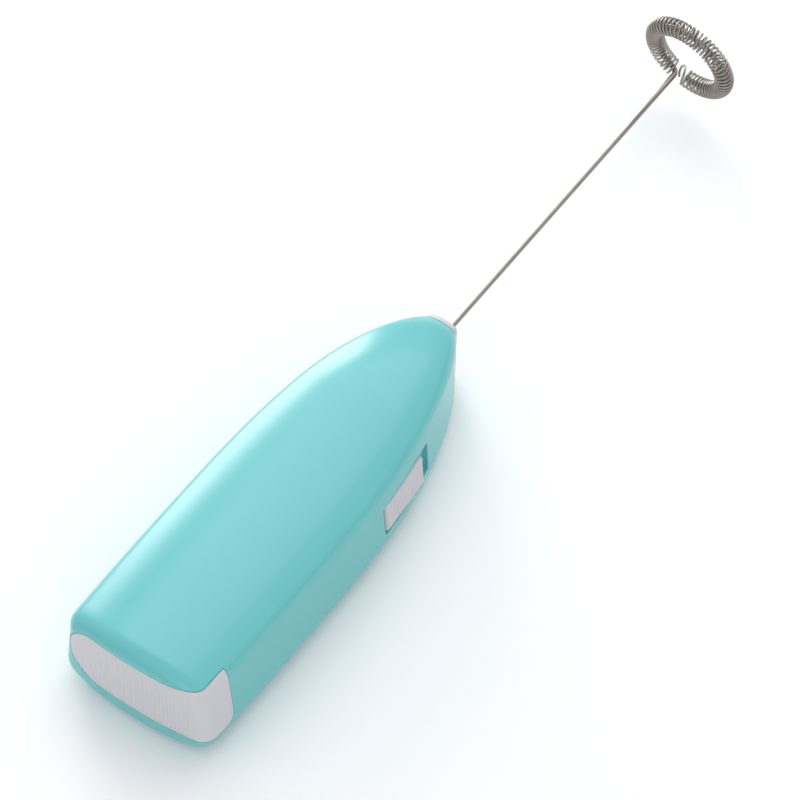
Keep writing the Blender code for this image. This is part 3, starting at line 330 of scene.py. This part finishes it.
def carved(obj, *steps):
    """Joins or cuts a shape with others, then keeps the outcome as its mesh."""
    for operation, other in steps:
        modifier = obj.modifiers.new(operation.lower(), "BOOLEAN")
        modifier.operation, modifier.solver, modifier.object = operation, "EXACT", other
    bpy.context.view_layer.update()
    shape = obj.evaluated_get(bpy.context.evaluated_depsgraph_get())
    mesh = bpy.data.meshes.new_from_object(shape)
    obj.modifiers.clear()
    obj.data = mesh
    for _, other in steps:
        bpy.data.objects.remove(other, do_unlink=True)
    return obj


def smooth(obj, degrees=35):
    """Shades a piece smooth except across edges sharper than an angle."""
    obj.data.shade_smooth()
    obj.data.set_sharp_from_angle(angle=math.radians(degrees))
    return obj


def opening(name, clearance):
    """The rear opening: from the side square above with a quarter ellipse at the lower front; from
    behind open at -Y, and closed at +Y by an upright with two arcs."""
    low, high = LIP_BOTTOM + clearance, LIP_TOP - clearance
    front, rise = GRIP_LENGTH - clearance, (high - low) * GRIP_CURVE
    turn = np.linspace(0, math.pi / 2, 25)
    curve = np.stack([REAR + front - GRIP_RADIUS * (1 - np.cos(turn)),
                      low + rise * (1 - np.sin(turn))], -1)
    back = REAR - REAR_BOW - CLEAR
    outline = np.concatenate([[[back, low], [back, high], [REAR + front, high]], curve])
    wide = 1.5 * HALF_WIDTH
    end = HALF_WIDTH * (1 - REAR_NARROWING) - END_RIM - clearance
    radius = min(END_RADIUS, (high - low) / 2 - clearance)
    turn = np.linspace(0, math.pi / 2, 17)
    lower = np.stack([end - radius * (1 - np.sin(turn)), low + radius * (1 - np.cos(turn))], -1)
    upper = np.stack([end - radius * (1 - np.cos(turn)), high - radius * (1 - np.sin(turn))], -1)
    shape = np.concatenate([[[-wide, high + CLEAR], [-wide, low - CLEAR],
                             [end - radius, low - CLEAR]], lower, upper,
                            [[end - radius, high + CLEAR]]])
    limit = prism("opening_end", shape, back - CLEAR, REAR + GRIP_LENGTH + CLEAR, 0)
    return carved(prism(name, outline, -wide, wide, 1), ("INTERSECT", limit))


def side_offset(station, height):
    """How far out the side lies at a height, read off the cross-section by straight lines."""
    half = sections([station], 0)[0]
    half = half[: len(half) // 2 + 1]
    return np.interp(AXIS - height, -half[:, 1], half[:, 0])


def switch_frame():
    """The recess's rear end, its directions along, inwards and up the side, and its length."""
    ends = np.array([[REAR + s, -side_offset(s, SWITCH_MIDDLE), SWITCH_MIDDLE]
                     for s in (SWITCH_START, SWITCH_END)])
    run = ends[1] - ends[0]
    middle = (SWITCH_START + SWITCH_END) / 2
    spread = side_offset(middle, SWITCH_MIDDLE - SWITCH_HEIGHT / 2) \
        - side_offset(middle, SWITCH_MIDDLE + SWITCH_HEIGHT / 2)
    turn = Matrix.Rotation(math.atan2(run[1], run[0]), 3, "Z") \
        @ Matrix.Rotation(-math.atan2(spread, SWITCH_HEIGHT), 3, "X")
    return ends[0], np.array(turn), np.linalg.norm(run)


SWITCH_ORIGIN, SWITCH_TURN, SWITCH_LENGTH = switch_frame()


def in_switch(points):
    """Points of the switch's frame, turned and moved into the handle's."""
    return SWITCH_ORIGIN + points @ SWITCH_TURN.T


def recess_outline(margin, radius, steps=6):
    """The recess from outside: a rectangle with rounded corners, along and up."""
    half = SWITCH_HEIGHT / 2 - margin
    low, high = margin, SWITCH_LENGTH - margin
    centres = np.array([[high - radius, half - radius], [low + radius, half - radius],
                        [low + radius, radius - half], [high - radius, radius - half]])
    turn = np.linspace(0, math.pi / 2, steps)
    arcs = [c + radius * np.stack([np.cos(turn + k * math.pi / 2),
                                   np.sin(turn + k * math.pi / 2)], -1)
            for k, c in enumerate(centres)]
    return np.concatenate(arcs)


def recess():
    """The switch's recess: its rounded outline carried straight inwards."""
    outline = recess_outline(0, RECESS_CORNER)
    rings = np.zeros((2, len(outline), 3))
    rings[..., [0, 2]] = outline
    rings[0, :, 1], rings[1, :, 1] = -CLEAR, RECESS_DEPTH
    return lofted("recess", in_switch(rings))


def handle_shell():
    """The outside less the inside, the rear opening, the nose's end, the recess and its slot.

    The inside stops short of a block behind the recess, which is the recess's floor and walls.
    """
    cavity = lofted("cavity", inside(RIM, LENGTH, WALL))
    half = SWITCH_HEIGHT / 2
    backing = block("backing", (BACKING_START, -CLEAR, -half),
                    (SWITCH_LENGTH + WALL, WALL, half), in_switch)
    carved(cavity, ("DIFFERENCE", backing))
    reach = 2 * HALF_WIDTH
    nose = block("nose", (REAR + COLLAR_STATION, -reach, -reach), (CLEAR - REAR, reach, reach))
    slot_end = STEM_START + STEM_LENGTH + SWITCH_TRAVEL + PLAY
    half = SLOT_HEIGHT / 2
    slot = block("slot", (STEM_START - PLAY, -CLEAR, -half), (slot_end, CLEAR, half), in_switch)
    shell = lofted("handle_shell", outside())
    carved(shell, ("DIFFERENCE", cavity), ("DIFFERENCE", opening("opening", 0)),
           ("DIFFERENCE", nose), ("DIFFERENCE", recess()), ("DIFFERENCE", slot))
    return smooth(shell)


def rib_comb():
    """Grooves between the cap's ribs from above: a raised cosine along the bowed rear face."""
    count = int(2 * RIB_HALF_SPAN / RIB_PITCH)
    y = np.linspace(-RIB_HALF_SPAN, RIB_HALF_SPAN, RIB_STEPS * count + 1)
    wave = 0.5 - 0.5 * np.cos(2 * math.pi * (y + RIB_HALF_SPAN) / RIB_PITCH)
    face = REAR - REAR_BOW * (1 - (y / HALF_WIDTH) ** 2)
    line = np.stack([face - RIB_LAP + (RIB_DEPTH + RIB_LAP) * wave, y], -1)
    far = REAR - REAR_BOW - CLEAR
    outline = np.concatenate([[[far, -RIB_HALF_SPAN]], line, [[far, RIB_HALF_SPAN]]])
    return prism("rib_comb", outline, LIP_BOTTOM + RIB_START, LIP_TOP + CLEAR, 2)


def battery_cap():
    """What of the outside fills the opening, hollowed for the cells, with two tongues and its ribs.

    Beside the cells the hollow stops below a web that closes the wedge's top.
    """
    cap = lofted("battery_cap", outside())
    steps = [("INTERSECT", opening("limit", CAP_GAP))]
    for side, height in ((CELL_SIDE + CELL_RADIUS + CELL_PLAY, LIP_TOP - PLAY - GRIP_WEB),
                         (CELL_SIDE + CELL_RADIUS * math.sin(math.pi / 4), HEIGHT + CLEAR)):
        hollow = block("hollow", (REAR + CAP_WALL, -side, -CLEAR),
                       (REAR + GRIP_LENGTH + CLEAR, 2 * HALF_WIDTH, height))
        steps.append(("DIFFERENCE", hollow))
    for low in (LIP_TOP - TONGUE_GAP - TONGUE_DEPTH, LIP_BOTTOM + TONGUE_GAP):
        tongue = block("tongue", (REAR + CAP_WALL / 2, -TONGUE_HALF_WIDTH, low),
                       (REAR + TONGUE_END, TONGUE_HALF_WIDTH, low + TONGUE_DEPTH))
        steps.append(("UNION", tongue))
    return smooth(carved(cap, *steps, ("DIFFERENCE", rib_comb())))


def nose_collar():
    """The sleeve's front outline carried forwards, its rim rolled over by a quarter circle."""
    turn = np.linspace(0, math.pi / 2, 8)
    station = np.concatenate([[COLLAR_STATION + CAP_GAP],
                              COLLAR_END - COLLAR_EDGE * (1 - np.sin(turn))])
    inset = np.concatenate([[0], COLLAR_EDGE * (1 - np.cos(turn))])
    outline = sections(np.full(len(station), COLLAR_STATION), inset)
    x = np.broadcast_to(REAR + station[:, None], outline.shape[:2])
    collar = lofted("nose_ring", np.stack([x, outline[..., 0], outline[..., 1] + AXIS], -1))
    plug = lofted("plug", inside(COLLAR_STATION - PLUG_LENGTH, COLLAR_STATION + PLUG_LAP,
                                 WALL + PLAY, 12))
    bore = turned("bore", [(LENGTH + CLEAR, NOSE_BORE), (LENGTH - 3 * CLEAR, NOSE_BORE)], steps=32)
    return smooth(carved(collar, ("UNION", plug), ("DIFFERENCE", bore)))


def slide_button():
    """A block whose sloping face is a row of cosine ribs, with edges rolled over by a circle.

    The ribs fade out towards the upper and lower edges, so those stay straight.
    """
    half = SWITCH_HEIGHT / 2 - PLAY
    u = np.linspace(0, 1, 16 * BUTTON_RIBS + 1)
    v = np.linspace(-1, 1, 33)
    u, v = np.meshgrid(u, v, indexing="ij")
    wave = 0.5 - 0.5 * np.cos(2 * math.pi * BUTTON_RIBS * u)
    edge_u = np.minimum(u, 1 - u) * BUTTON_LENGTH
    edge_v = (1 - np.abs(v)) * half
    roll = BUTTON_ROLL
    ribs = BUTTON_RIB_DEPTH * (1 - wave) * np.clip((edge_v - roll) / roll, 0, 1)
    fall = sum(roll - np.sqrt(np.maximum(roll ** 2 - np.maximum(roll - edge, 0) ** 2, 0))
               for edge in (edge_u, edge_v))
    proud = BUTTON_REAR_PROUD + (BUTTON_PROUD - BUTTON_REAR_PROUD) * u
    inward = np.minimum(ribs + fall - proud, BUTTON_SINK)
    top = np.stack([BUTTON_START + u * BUTTON_LENGTH, inward, v * half], -1)
    base = top.copy()
    base[..., 1] = RECESS_DEPTH - BUTTON_FLOAT
    rows, columns = u.shape
    top_faces = quads_of(rows, columns)
    border = np.concatenate([np.arange(columns), np.arange(1, rows) * columns + columns - 1,
                             (rows - 1) * columns + np.arange(columns - 2, -1, -1),
                             np.arange(rows - 2, 0, -1) * columns])
    total = rows * columns
    after = np.roll(border, -1)
    walls = np.stack([border, after, after + total, border + total], -1)
    points = np.concatenate([top.reshape(-1, 3), base.reshape(-1, 3)])
    faces = np.concatenate([top_faces[:, ::-1], top_faces + total, walls]).tolist()
    button = facing_out(new_mesh("slide_button", in_switch(points), faces))
    half_stem = SLOT_HEIGHT / 2 - PLAY
    stem = block("stem", (STEM_START, PLAY, -half_stem),
                 (STEM_START + STEM_LENGTH, RECESS_DEPTH + STEM_REACH, half_stem), in_switch)
    return smooth(carved(button, ("UNION", stem)), 50)


def hoop_frame():
    """Directions at the shaft's end: to the hoop's middle, round its wire, and square to both."""
    lean = np.array([0, -math.sin(HOOP_LEAN), math.cos(HOOP_LEAN)])
    up = lean * math.cos(HOOP_TILT) - np.array([math.sin(HOOP_TILT), 0, 0])
    along = np.array([0, math.cos(HOOP_LEAN), math.sin(HOOP_LEAN)])
    return up, along, np.cross(up, along)


def hoop_path(turn, radius=HOOP_RADIUS):
    """Points of the hoop: a circle through the shaft's end, or one about its middle."""
    up, along, _ = hoop_frame()
    foot = np.array([REAR + HOOP_STATION, 0, AXIS])
    turn, radius = np.broadcast_arrays(np.asarray(turn, float), radius)
    rise = (HOOP_RADIUS - radius * np.cos(turn))[:, None]
    return foot + up * rise + along * (radius * np.sin(turn))[:, None]


def whisk_wire():
    """One wire: straight, round a quarter bend, and on round the hoop to the shaft's end."""
    along = hoop_frame()[1]
    forward = np.array([1.0, 0, 0])
    centre = np.array([REAR + HOOP_STATION, 0, AXIS]) + (along - forward) * WIRE_BEND
    straight = np.linspace(WIRE_START, HOOP_STATION - WIRE_BEND, SHAFT_STEPS)[:-1, None] * forward
    straight = straight + [REAR, 0, AXIS]
    turn = np.linspace(0, math.pi / 2, BEND_STEPS)[:, None]
    corner = centre + (forward * np.sin(turn) - along * np.cos(turn)) * WIRE_BEND
    first, last = WIRE_BEND / HOOP_RADIUS, 2 * math.pi - HOOP_END / HOOP_RADIUS
    round_hoop = hoop_path(np.linspace(first, last, HOOP_STEPS)[1:])
    path = np.concatenate([straight, corner, round_hoop])
    return smooth(tube("whisk_shaft", path, WIRE_RADIUS, hoop_frame()[2], WIRE_SIDES), 60)


def whisk_coil():
    """A fine wire wound round the hoop's wire: a circle carried round the hoop's own circle.

    Its last turn is drawn out along the hoop and turned, by a sine of its wrap, to face the shaft.
    """
    share = np.linspace(0, 1, COIL_TURNS * COIL_STEPS + 1)
    wrap = 2 * math.pi * COIL_TURNS * share
    hook = np.maximum(COIL_TURNS * (share - 1) + 1, 0)
    turn = COIL_START + (2 * math.pi - COIL_START - COIL_END) * share + COIL_HOOK * hook
    turn -= math.tan(HOOK_TURN) * hook * COIL_RADIUS / HOOP_RADIUS * np.sin(wrap)
    path = hoop_path(turn, HOOP_RADIUS + COIL_RADIUS * np.cos(wrap))
    path += hoop_frame()[2] * (COIL_RADIUS * np.sin(wrap))[:, None]
    return smooth(tube("whisk_spring", path, COIL_WIRE, path - hoop_path(turn), COIL_SIDES), 80)


# Materials.

def colour(code):
    """A hex colour as linear light: the sRGB curve undone, channel by channel."""
    value = np.array([int(code[k:k + 2], 16) for k in (1, 3, 5)]) / 255
    value = np.where(value <= 0.04045, value / 12.92, ((value + 0.055) / 1.055) ** 2.4)
    return (*value.tolist(), 1.0)


def add(tree, kind, inputs=None, **settings):
    """Adds a node; an input is either a value or another node's socket."""
    made = tree.nodes.new(kind)
    for key, value in settings.items():
        setattr(made, key, value)
    for key, value in (inputs or {}).items():
        if isinstance(value, bpy.types.NodeSocket):
            tree.links.new(value, made.inputs[key])
        else:
            made.inputs[key].default_value = value
    return made


def material(name, base, roughness, metallic=0.0, ior=1.5):
    """A surface of one colour, with its tree and shader for whatever is drawn on it."""
    made = bpy.data.materials.new(name)
    made.use_nodes = True
    tree = made.node_tree
    shader = tree.nodes["Principled BSDF"]
    shader.inputs["Base Color"].default_value = colour(base)
    shader.inputs["Roughness"].default_value = roughness
    shader.inputs["Metallic"].default_value = metallic
    if not metallic:
        shader.inputs["IOR"].default_value = ior
    return made, tree, shader


def per_metre(size_mm):
    """The scale that makes a pattern's cell this many millimetres on Object coordinates."""
    return 1 / (size_mm * MM)


def noise(tree, place, size_mm, detail=2.0):
    """Cloudy noise whose cells are about this many millimetres."""
    return add(tree, "ShaderNodeTexNoise", {"Vector": place, "Scale": per_metre(size_mm),
                                            "Detail": detail}).outputs["Fac"]


def spread(tree, value, low, high):
    """A 0 to 1 value carried to another range."""
    return add(tree, "ShaderNodeMapRange", {"Value": value, "To Min": low,
                                            "To Max": high}).outputs["Result"]


def blended(tree, share, first, second):
    """A colour between two, by a share."""
    tone = add(tree, "ShaderNodeMix", {"Factor": share}, data_type="RGBA")
    for key, value in (("A", first), ("B", second)):
        if isinstance(value, bpy.types.NodeSocket):
            tree.links.new(value, tone.inputs[key])
        else:
            tone.inputs[key].default_value = colour(value)
    return tone.outputs["Result"]


def relief(tree, shader, height, depth_mm, strength, round_mm=0.0):
    """Bumps of a depth, over edges that look rounded by a radius."""
    bump = add(tree, "ShaderNodeBump", {"Height": height, "Strength": strength,
                                        "Distance": depth_mm * MM})
    if round_mm:
        edge = add(tree, "ShaderNodeBevel", {"Radius": round_mm * MM}, samples=6)
        tree.links.new(edge.outputs["Normal"], bump.inputs["Normal"])
    tree.links.new(bump.outputs["Normal"], shader.inputs["Normal"])


def moulded(name, base, dark, roughness, bump_mm, round_mm=0.0, grain_mm=0.35):
    """Injection-moulded ABS.

    The colour is in the melt, so it is even but for a faint cloud where the flow slowed; the tool
    leaves a polished or fine-eroded skin whose grain breaks up the gloss, and handling dulls it in
    soft patches.
    """
    made, tree, shader = material(name, base, roughness, ior=1.54)
    place = add(tree, "ShaderNodeTexCoord").outputs["Object"]
    tone = blended(tree, noise(tree, place, 14), dark, base)
    tree.links.new(tone, shader.inputs["Base Color"])
    grain = noise(tree, place, grain_mm, 3.0)
    handled = add(tree, "ShaderNodeMath", {0: noise(tree, place, 22), 1: grain}, operation="ADD")
    tree.links.new(add(tree, "ShaderNodeMapRange", {
        "Value": handled.outputs["Value"], "From Max": 2.0, "To Min": roughness - 0.06,
        "To Max": roughness + 0.06}).outputs["Result"], shader.inputs["Roughness"])
    relief(tree, shader, grain, bump_mm, 0.25, round_mm)
    return made


def drawn_wire(name, base, dark, roughness, line_mm):
    """Drawn stainless wire: the die leaves fine lines along it, so its warm shine is uneven."""
    made, tree, shader = material(name, base, roughness, 1.0)
    place = add(tree, "ShaderNodeTexCoord").outputs["Object"]
    stretch = add(tree, "ShaderNodeMapping", {"Vector": place, "Scale": (0.04, 1, 1)})
    lines = noise(tree, stretch.outputs["Vector"], line_mm)
    tone = blended(tree, noise(tree, place, 3), dark, base)
    tree.links.new(tone, shader.inputs["Base Color"])
    tree.links.new(spread(tree, lines, roughness - 0.08, roughness + 0.1),
                   shader.inputs["Roughness"])
    relief(tree, shader, lines, 0.01, 0.3)
    return made


def sheet_metal(name, base, stained, roughness, grain_mm):
    """Rolled and plated strip: bright and smooth, with rolling streaks and a faint tarnish."""
    made, tree, shader = material(name, base, roughness, 1.0)
    place = add(tree, "ShaderNodeTexCoord").outputs["Object"]
    stretch = add(tree, "ShaderNodeMapping", {"Vector": place, "Scale": (0.08, 1, 1)})
    streaks = noise(tree, stretch.outputs["Vector"], grain_mm, 3.0)
    tree.links.new(blended(tree, noise(tree, place, 5, 4.0), stained, base),
                   shader.inputs["Base Color"])
    tree.links.new(spread(tree, streaks, roughness - 0.08, roughness + 0.12),
                   shader.inputs["Roughness"])
    relief(tree, shader, streaks, 0.008, 0.3, 0.06)
    return made


def bands(tree, place, pitch_mm, **settings):
    """Sine bands or rings of a pitch; the texture's own period is 2 pi / 20."""
    scale = math.pi / 10 / (pitch_mm * MM)
    return add(tree, "ShaderNodeTexWave", {"Vector": place, "Scale": scale},
               **settings).outputs["Fac"]


def layered(name, base, gap_shade_and_patch_tone, roughness, metallic, pitch_mm, **settings):
    """Many thin layers side by side: stamped sheets, or turns of wire.

    The gaps between them are dark lines of painted shade, and each layer catches the light by
    itself.
    """
    made, tree, shader = material(name, base, roughness, metallic)
    place = add(tree, "ShaderNodeTexCoord").outputs["Object"]
    about = add(tree, "ShaderNodeMapping", {"Vector": place, "Location": (0, 0, -AXIS * MM)})
    layers = bands(tree, about.outputs["Vector"], pitch_mm, **settings)
    patches = noise(tree, place, 2, 3.0)
    # painted shade: each band darkens towards the second colour where the groove between layers is
    # shaded, and random patches darken towards it too
    tone = blended(tree, layers, gap_shade_and_patch_tone, blended(tree, patches, base, gap_shade_and_patch_tone))
    tree.links.new(tone, shader.inputs["Base Color"])
    tree.links.new(spread(tree, patches, roughness - 0.1, roughness + 0.1),
                   shader.inputs["Roughness"])
    relief(tree, shader, layers, 0.04, 0.6)
    return made


def cell_skin(name, film, band, steel):
    """A dry cell: a printed shrink film round its side, glossy, with a band near its rear end.

    Within the film's radius its ends and its nub are bare plated steel.
    """
    made, tree, shader = material(name, film, 0.3, ior=1.5)
    coords = add(tree, "ShaderNodeTexCoord")
    place = coords.outputs["Object"]
    split = add(tree, "ShaderNodeSeparateXYZ", {"Vector": place})
    side = add(tree, "ShaderNodeMath", {0: split.outputs["Y"]}, operation="ABSOLUTE")
    y = add(tree, "ShaderNodeMath", {0: side.outputs["Value"], 1: CELL_SIDE * MM},
            operation="SUBTRACT")
    z = add(tree, "ShaderNodeMath", {0: split.outputs["Z"], 1: (AXIS + CELL_RISE) * MM},
            operation="SUBTRACT")
    arm = add(tree, "ShaderNodeCombineXYZ", {"Y": y.outputs["Value"], "Z": z.outputs["Value"]})
    reach = add(tree, "ShaderNodeVectorMath", {0: arm.outputs["Vector"]}, operation="LENGTH")
    bare = add(tree, "ShaderNodeMath", {0: reach.outputs["Value"], 1: CELL_FILM * MM},
               operation="LESS_THAN").outputs["Value"]
    ring = add(tree, "ShaderNodeMath", {0: split.outputs["X"], 1: (REAR + CELL_BAND) * MM},
               operation="LESS_THAN").outputs["Value"]
    printed = blended(tree, ring, film, band)
    tree.links.new(blended(tree, bare, printed, steel), shader.inputs["Base Color"])
    tree.links.new(bare, shader.inputs["Metallic"])
    grain = noise(tree, place, 0.5, 3.0)
    tree.links.new(spread(tree, grain, 0.22, 0.4), shader.inputs["Roughness"])
    relief(tree, shader, noise(tree, place, 6), 0.05, 0.3, 0.3)
    return made


TURQUOISE = moulded("turquoise_abs_moulding", "#67bdbe", "#64babb", 0.24, 0.004, 0.35)
GREY = moulded("pale_grey_abs_moulding", "#cccbce", "#c8c7ca", 0.45, 0.015, 0.12)
STEEL = drawn_wire("drawn_stainless_wire", "#a8a29b", "#938c85", 0.3, 0.06)
FINISHES = {
    "turquoise_abs": TURQUOISE,
    "pale_grey_abs": GREY,
    "white_chassis_abs": moulded("natural_white_abs_moulding", "#dcdbd4", "#d3d2ca", 0.5, 0.02,
                                 0.2),
    "stainless_wire": STEEL,
    "nickel_plate": sheet_metal("nickel_plated_steel", "#b9b4aa", "#a39d92", 0.24, 0.1),
    # the second colour is painted shade in the grooves between the turns
    "enamelled_copper": layered("enamelled_copper_turns", "#b0643a", "#4f2512", 0.3, 1.0, 0.28,
                                wave_type="RINGS", rings_direction="X"),
    "brass": sheet_metal("rolled_brass", "#c9a862", "#a98648", 0.28, 0.08),
    # the second colour is painted shade in the joints between the sheets
    "core_steel": layered("stamped_core_sheets", "#8b8a89", "#39393b", 0.42, 1.0, 0.5,
                          wave_type="BANDS", bands_direction="X"),
    "ferrite": moulded("pressed_ferrite", "#2a2a2c", "#232325", 0.6, 0.03, 0.15, 0.12),
    "cell_jacket": cell_skin("printed_cell_film", "#23262c", "#a66f3c", "#b3b0aa"),
    "red_lead": moulded("red_pvc_insulation", "#b02a24", "#a32520", 0.42, 0.01, 0.0, 0.3),
    "black_lead": moulded("black_pvc_insulation", "#262628", "#202022", 0.42, 0.01, 0.0, 0.3),
}

for piece in frame["record"]["subparts"]:
    dressed = frame["nodes"][piece["node"]].data.materials
    dressed.clear()
    dressed.append(FINISHES[piece["material_slot"]])


def wear(obj, finish, slot, body, *nodes):
    """Dresses a new piece, which rides on its body and stands for CAD nodes."""
    obj.data.materials.clear()
    obj.data.materials.append(finish)
    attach(obj, body)
    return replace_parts(obj, *nodes)


wear(handle_shell(), TURQUOISE, "turquoise_abs", "handle", "handle_sleeve")
wear(battery_cap(), GREY, "pale_grey_abs", "cap", "end_cap")
wear(nose_collar(), GREY, "pale_grey_abs", "handle", "nose_collar")
wear(slide_button(), GREY, "pale_grey_abs", "switch", "switch_button")
wear(whisk_wire(), STEEL, "stainless_wire", "rotor", "whisk_wire")
wear(whisk_coil(), STEEL, "stainless_wire", "rotor", "whisk_coil")


# The stage.

def placed(name, data, turned_axes, place):
    """Adds a light or the camera, from its three axes and its place in metres."""
    obj = bpy.data.objects.new(name, data)
    bpy.context.scene.collection.objects.link(obj)
    rows = [[*row, p] for row, p in zip(np.stack(turned_axes, 1), place)]
    obj.matrix_world = Matrix(rows + [[0, 0, 0, 1]])
    return obj


def softbox(name, place, size, power):
    """A square white light that faces the handle."""
    lamp = bpy.data.lights.new(name, "AREA")
    lamp.shape, lamp.size, lamp.energy = "SQUARE", size, power
    back = unit(np.array(place))
    across = unit(np.cross([0, 0, 1.0], back))
    placed(name, lamp, (across, np.cross(back, across), back), place)


def studio():
    """A white table in a room that darkens towards the horizon, with its square lights."""
    corners = [[-1, -1, 0], [1, -1, 0], [1, 1, 0], [-1, 1, 0]]
    floor = new_mesh("table", TABLE_REACH * np.array(corners) - [0, 0, TABLE_DROP], [[0, 1, 2, 3]])
    made, _, _ = material("white_table", "#f3f5f6", 0.9)
    floor.data.materials.append(made)
    world = bpy.data.worlds.new("studio")
    world.use_nodes = True
    tree = world.node_tree
    place = add(tree, "ShaderNodeTexCoord").outputs["Generated"]
    height = add(tree, "ShaderNodeSeparateXYZ", {"Vector": place}).outputs["Z"]
    share = add(tree, "ShaderNodeMapRange", {
        "Value": height, "From Min": LOW_VIEW, "From Max": HIGH_VIEW,
        "To Min": ROOM_LOW, "To Max": ROOM_HIGH})
    back = tree.nodes["Background"]
    back.inputs["Color"].default_value = colour("#f4f5f8")
    tree.links.new(share.outputs["Result"], back.inputs["Strength"])
    bpy.context.scene.world = world
    for light in LIGHTS:
        softbox(*light)


def camera():
    """The camera: a view turned by an azimuth, tipped down, and rolled about its own line."""
    azimuth, depression, roll = CAMERA_AZIMUTH, CAMERA_DEPRESSION, CAMERA_ROLL
    forward = np.array([math.cos(depression) * math.cos(azimuth),
                        math.cos(depression) * math.sin(azimuth), -math.sin(depression)])
    right = np.array([math.sin(azimuth), -math.cos(azimuth), 0])
    up = np.cross(right, forward)
    right, up = (math.cos(roll) * right + math.sin(roll) * up,
                 math.cos(roll) * up - math.sin(roll) * right)
    data = bpy.data.cameras.new("camera")
    data.sensor_width, data.lens = SENSOR, LENS
    data.clip_start, data.clip_end = 0.01, 10
    place = np.array(CAMERA_PLACE) * MM
    bpy.context.scene.camera = placed("camera", data, (right, up, -forward), place)


studio()
camera()
bpy.context.scene.view_settings.view_transform = "Standard"
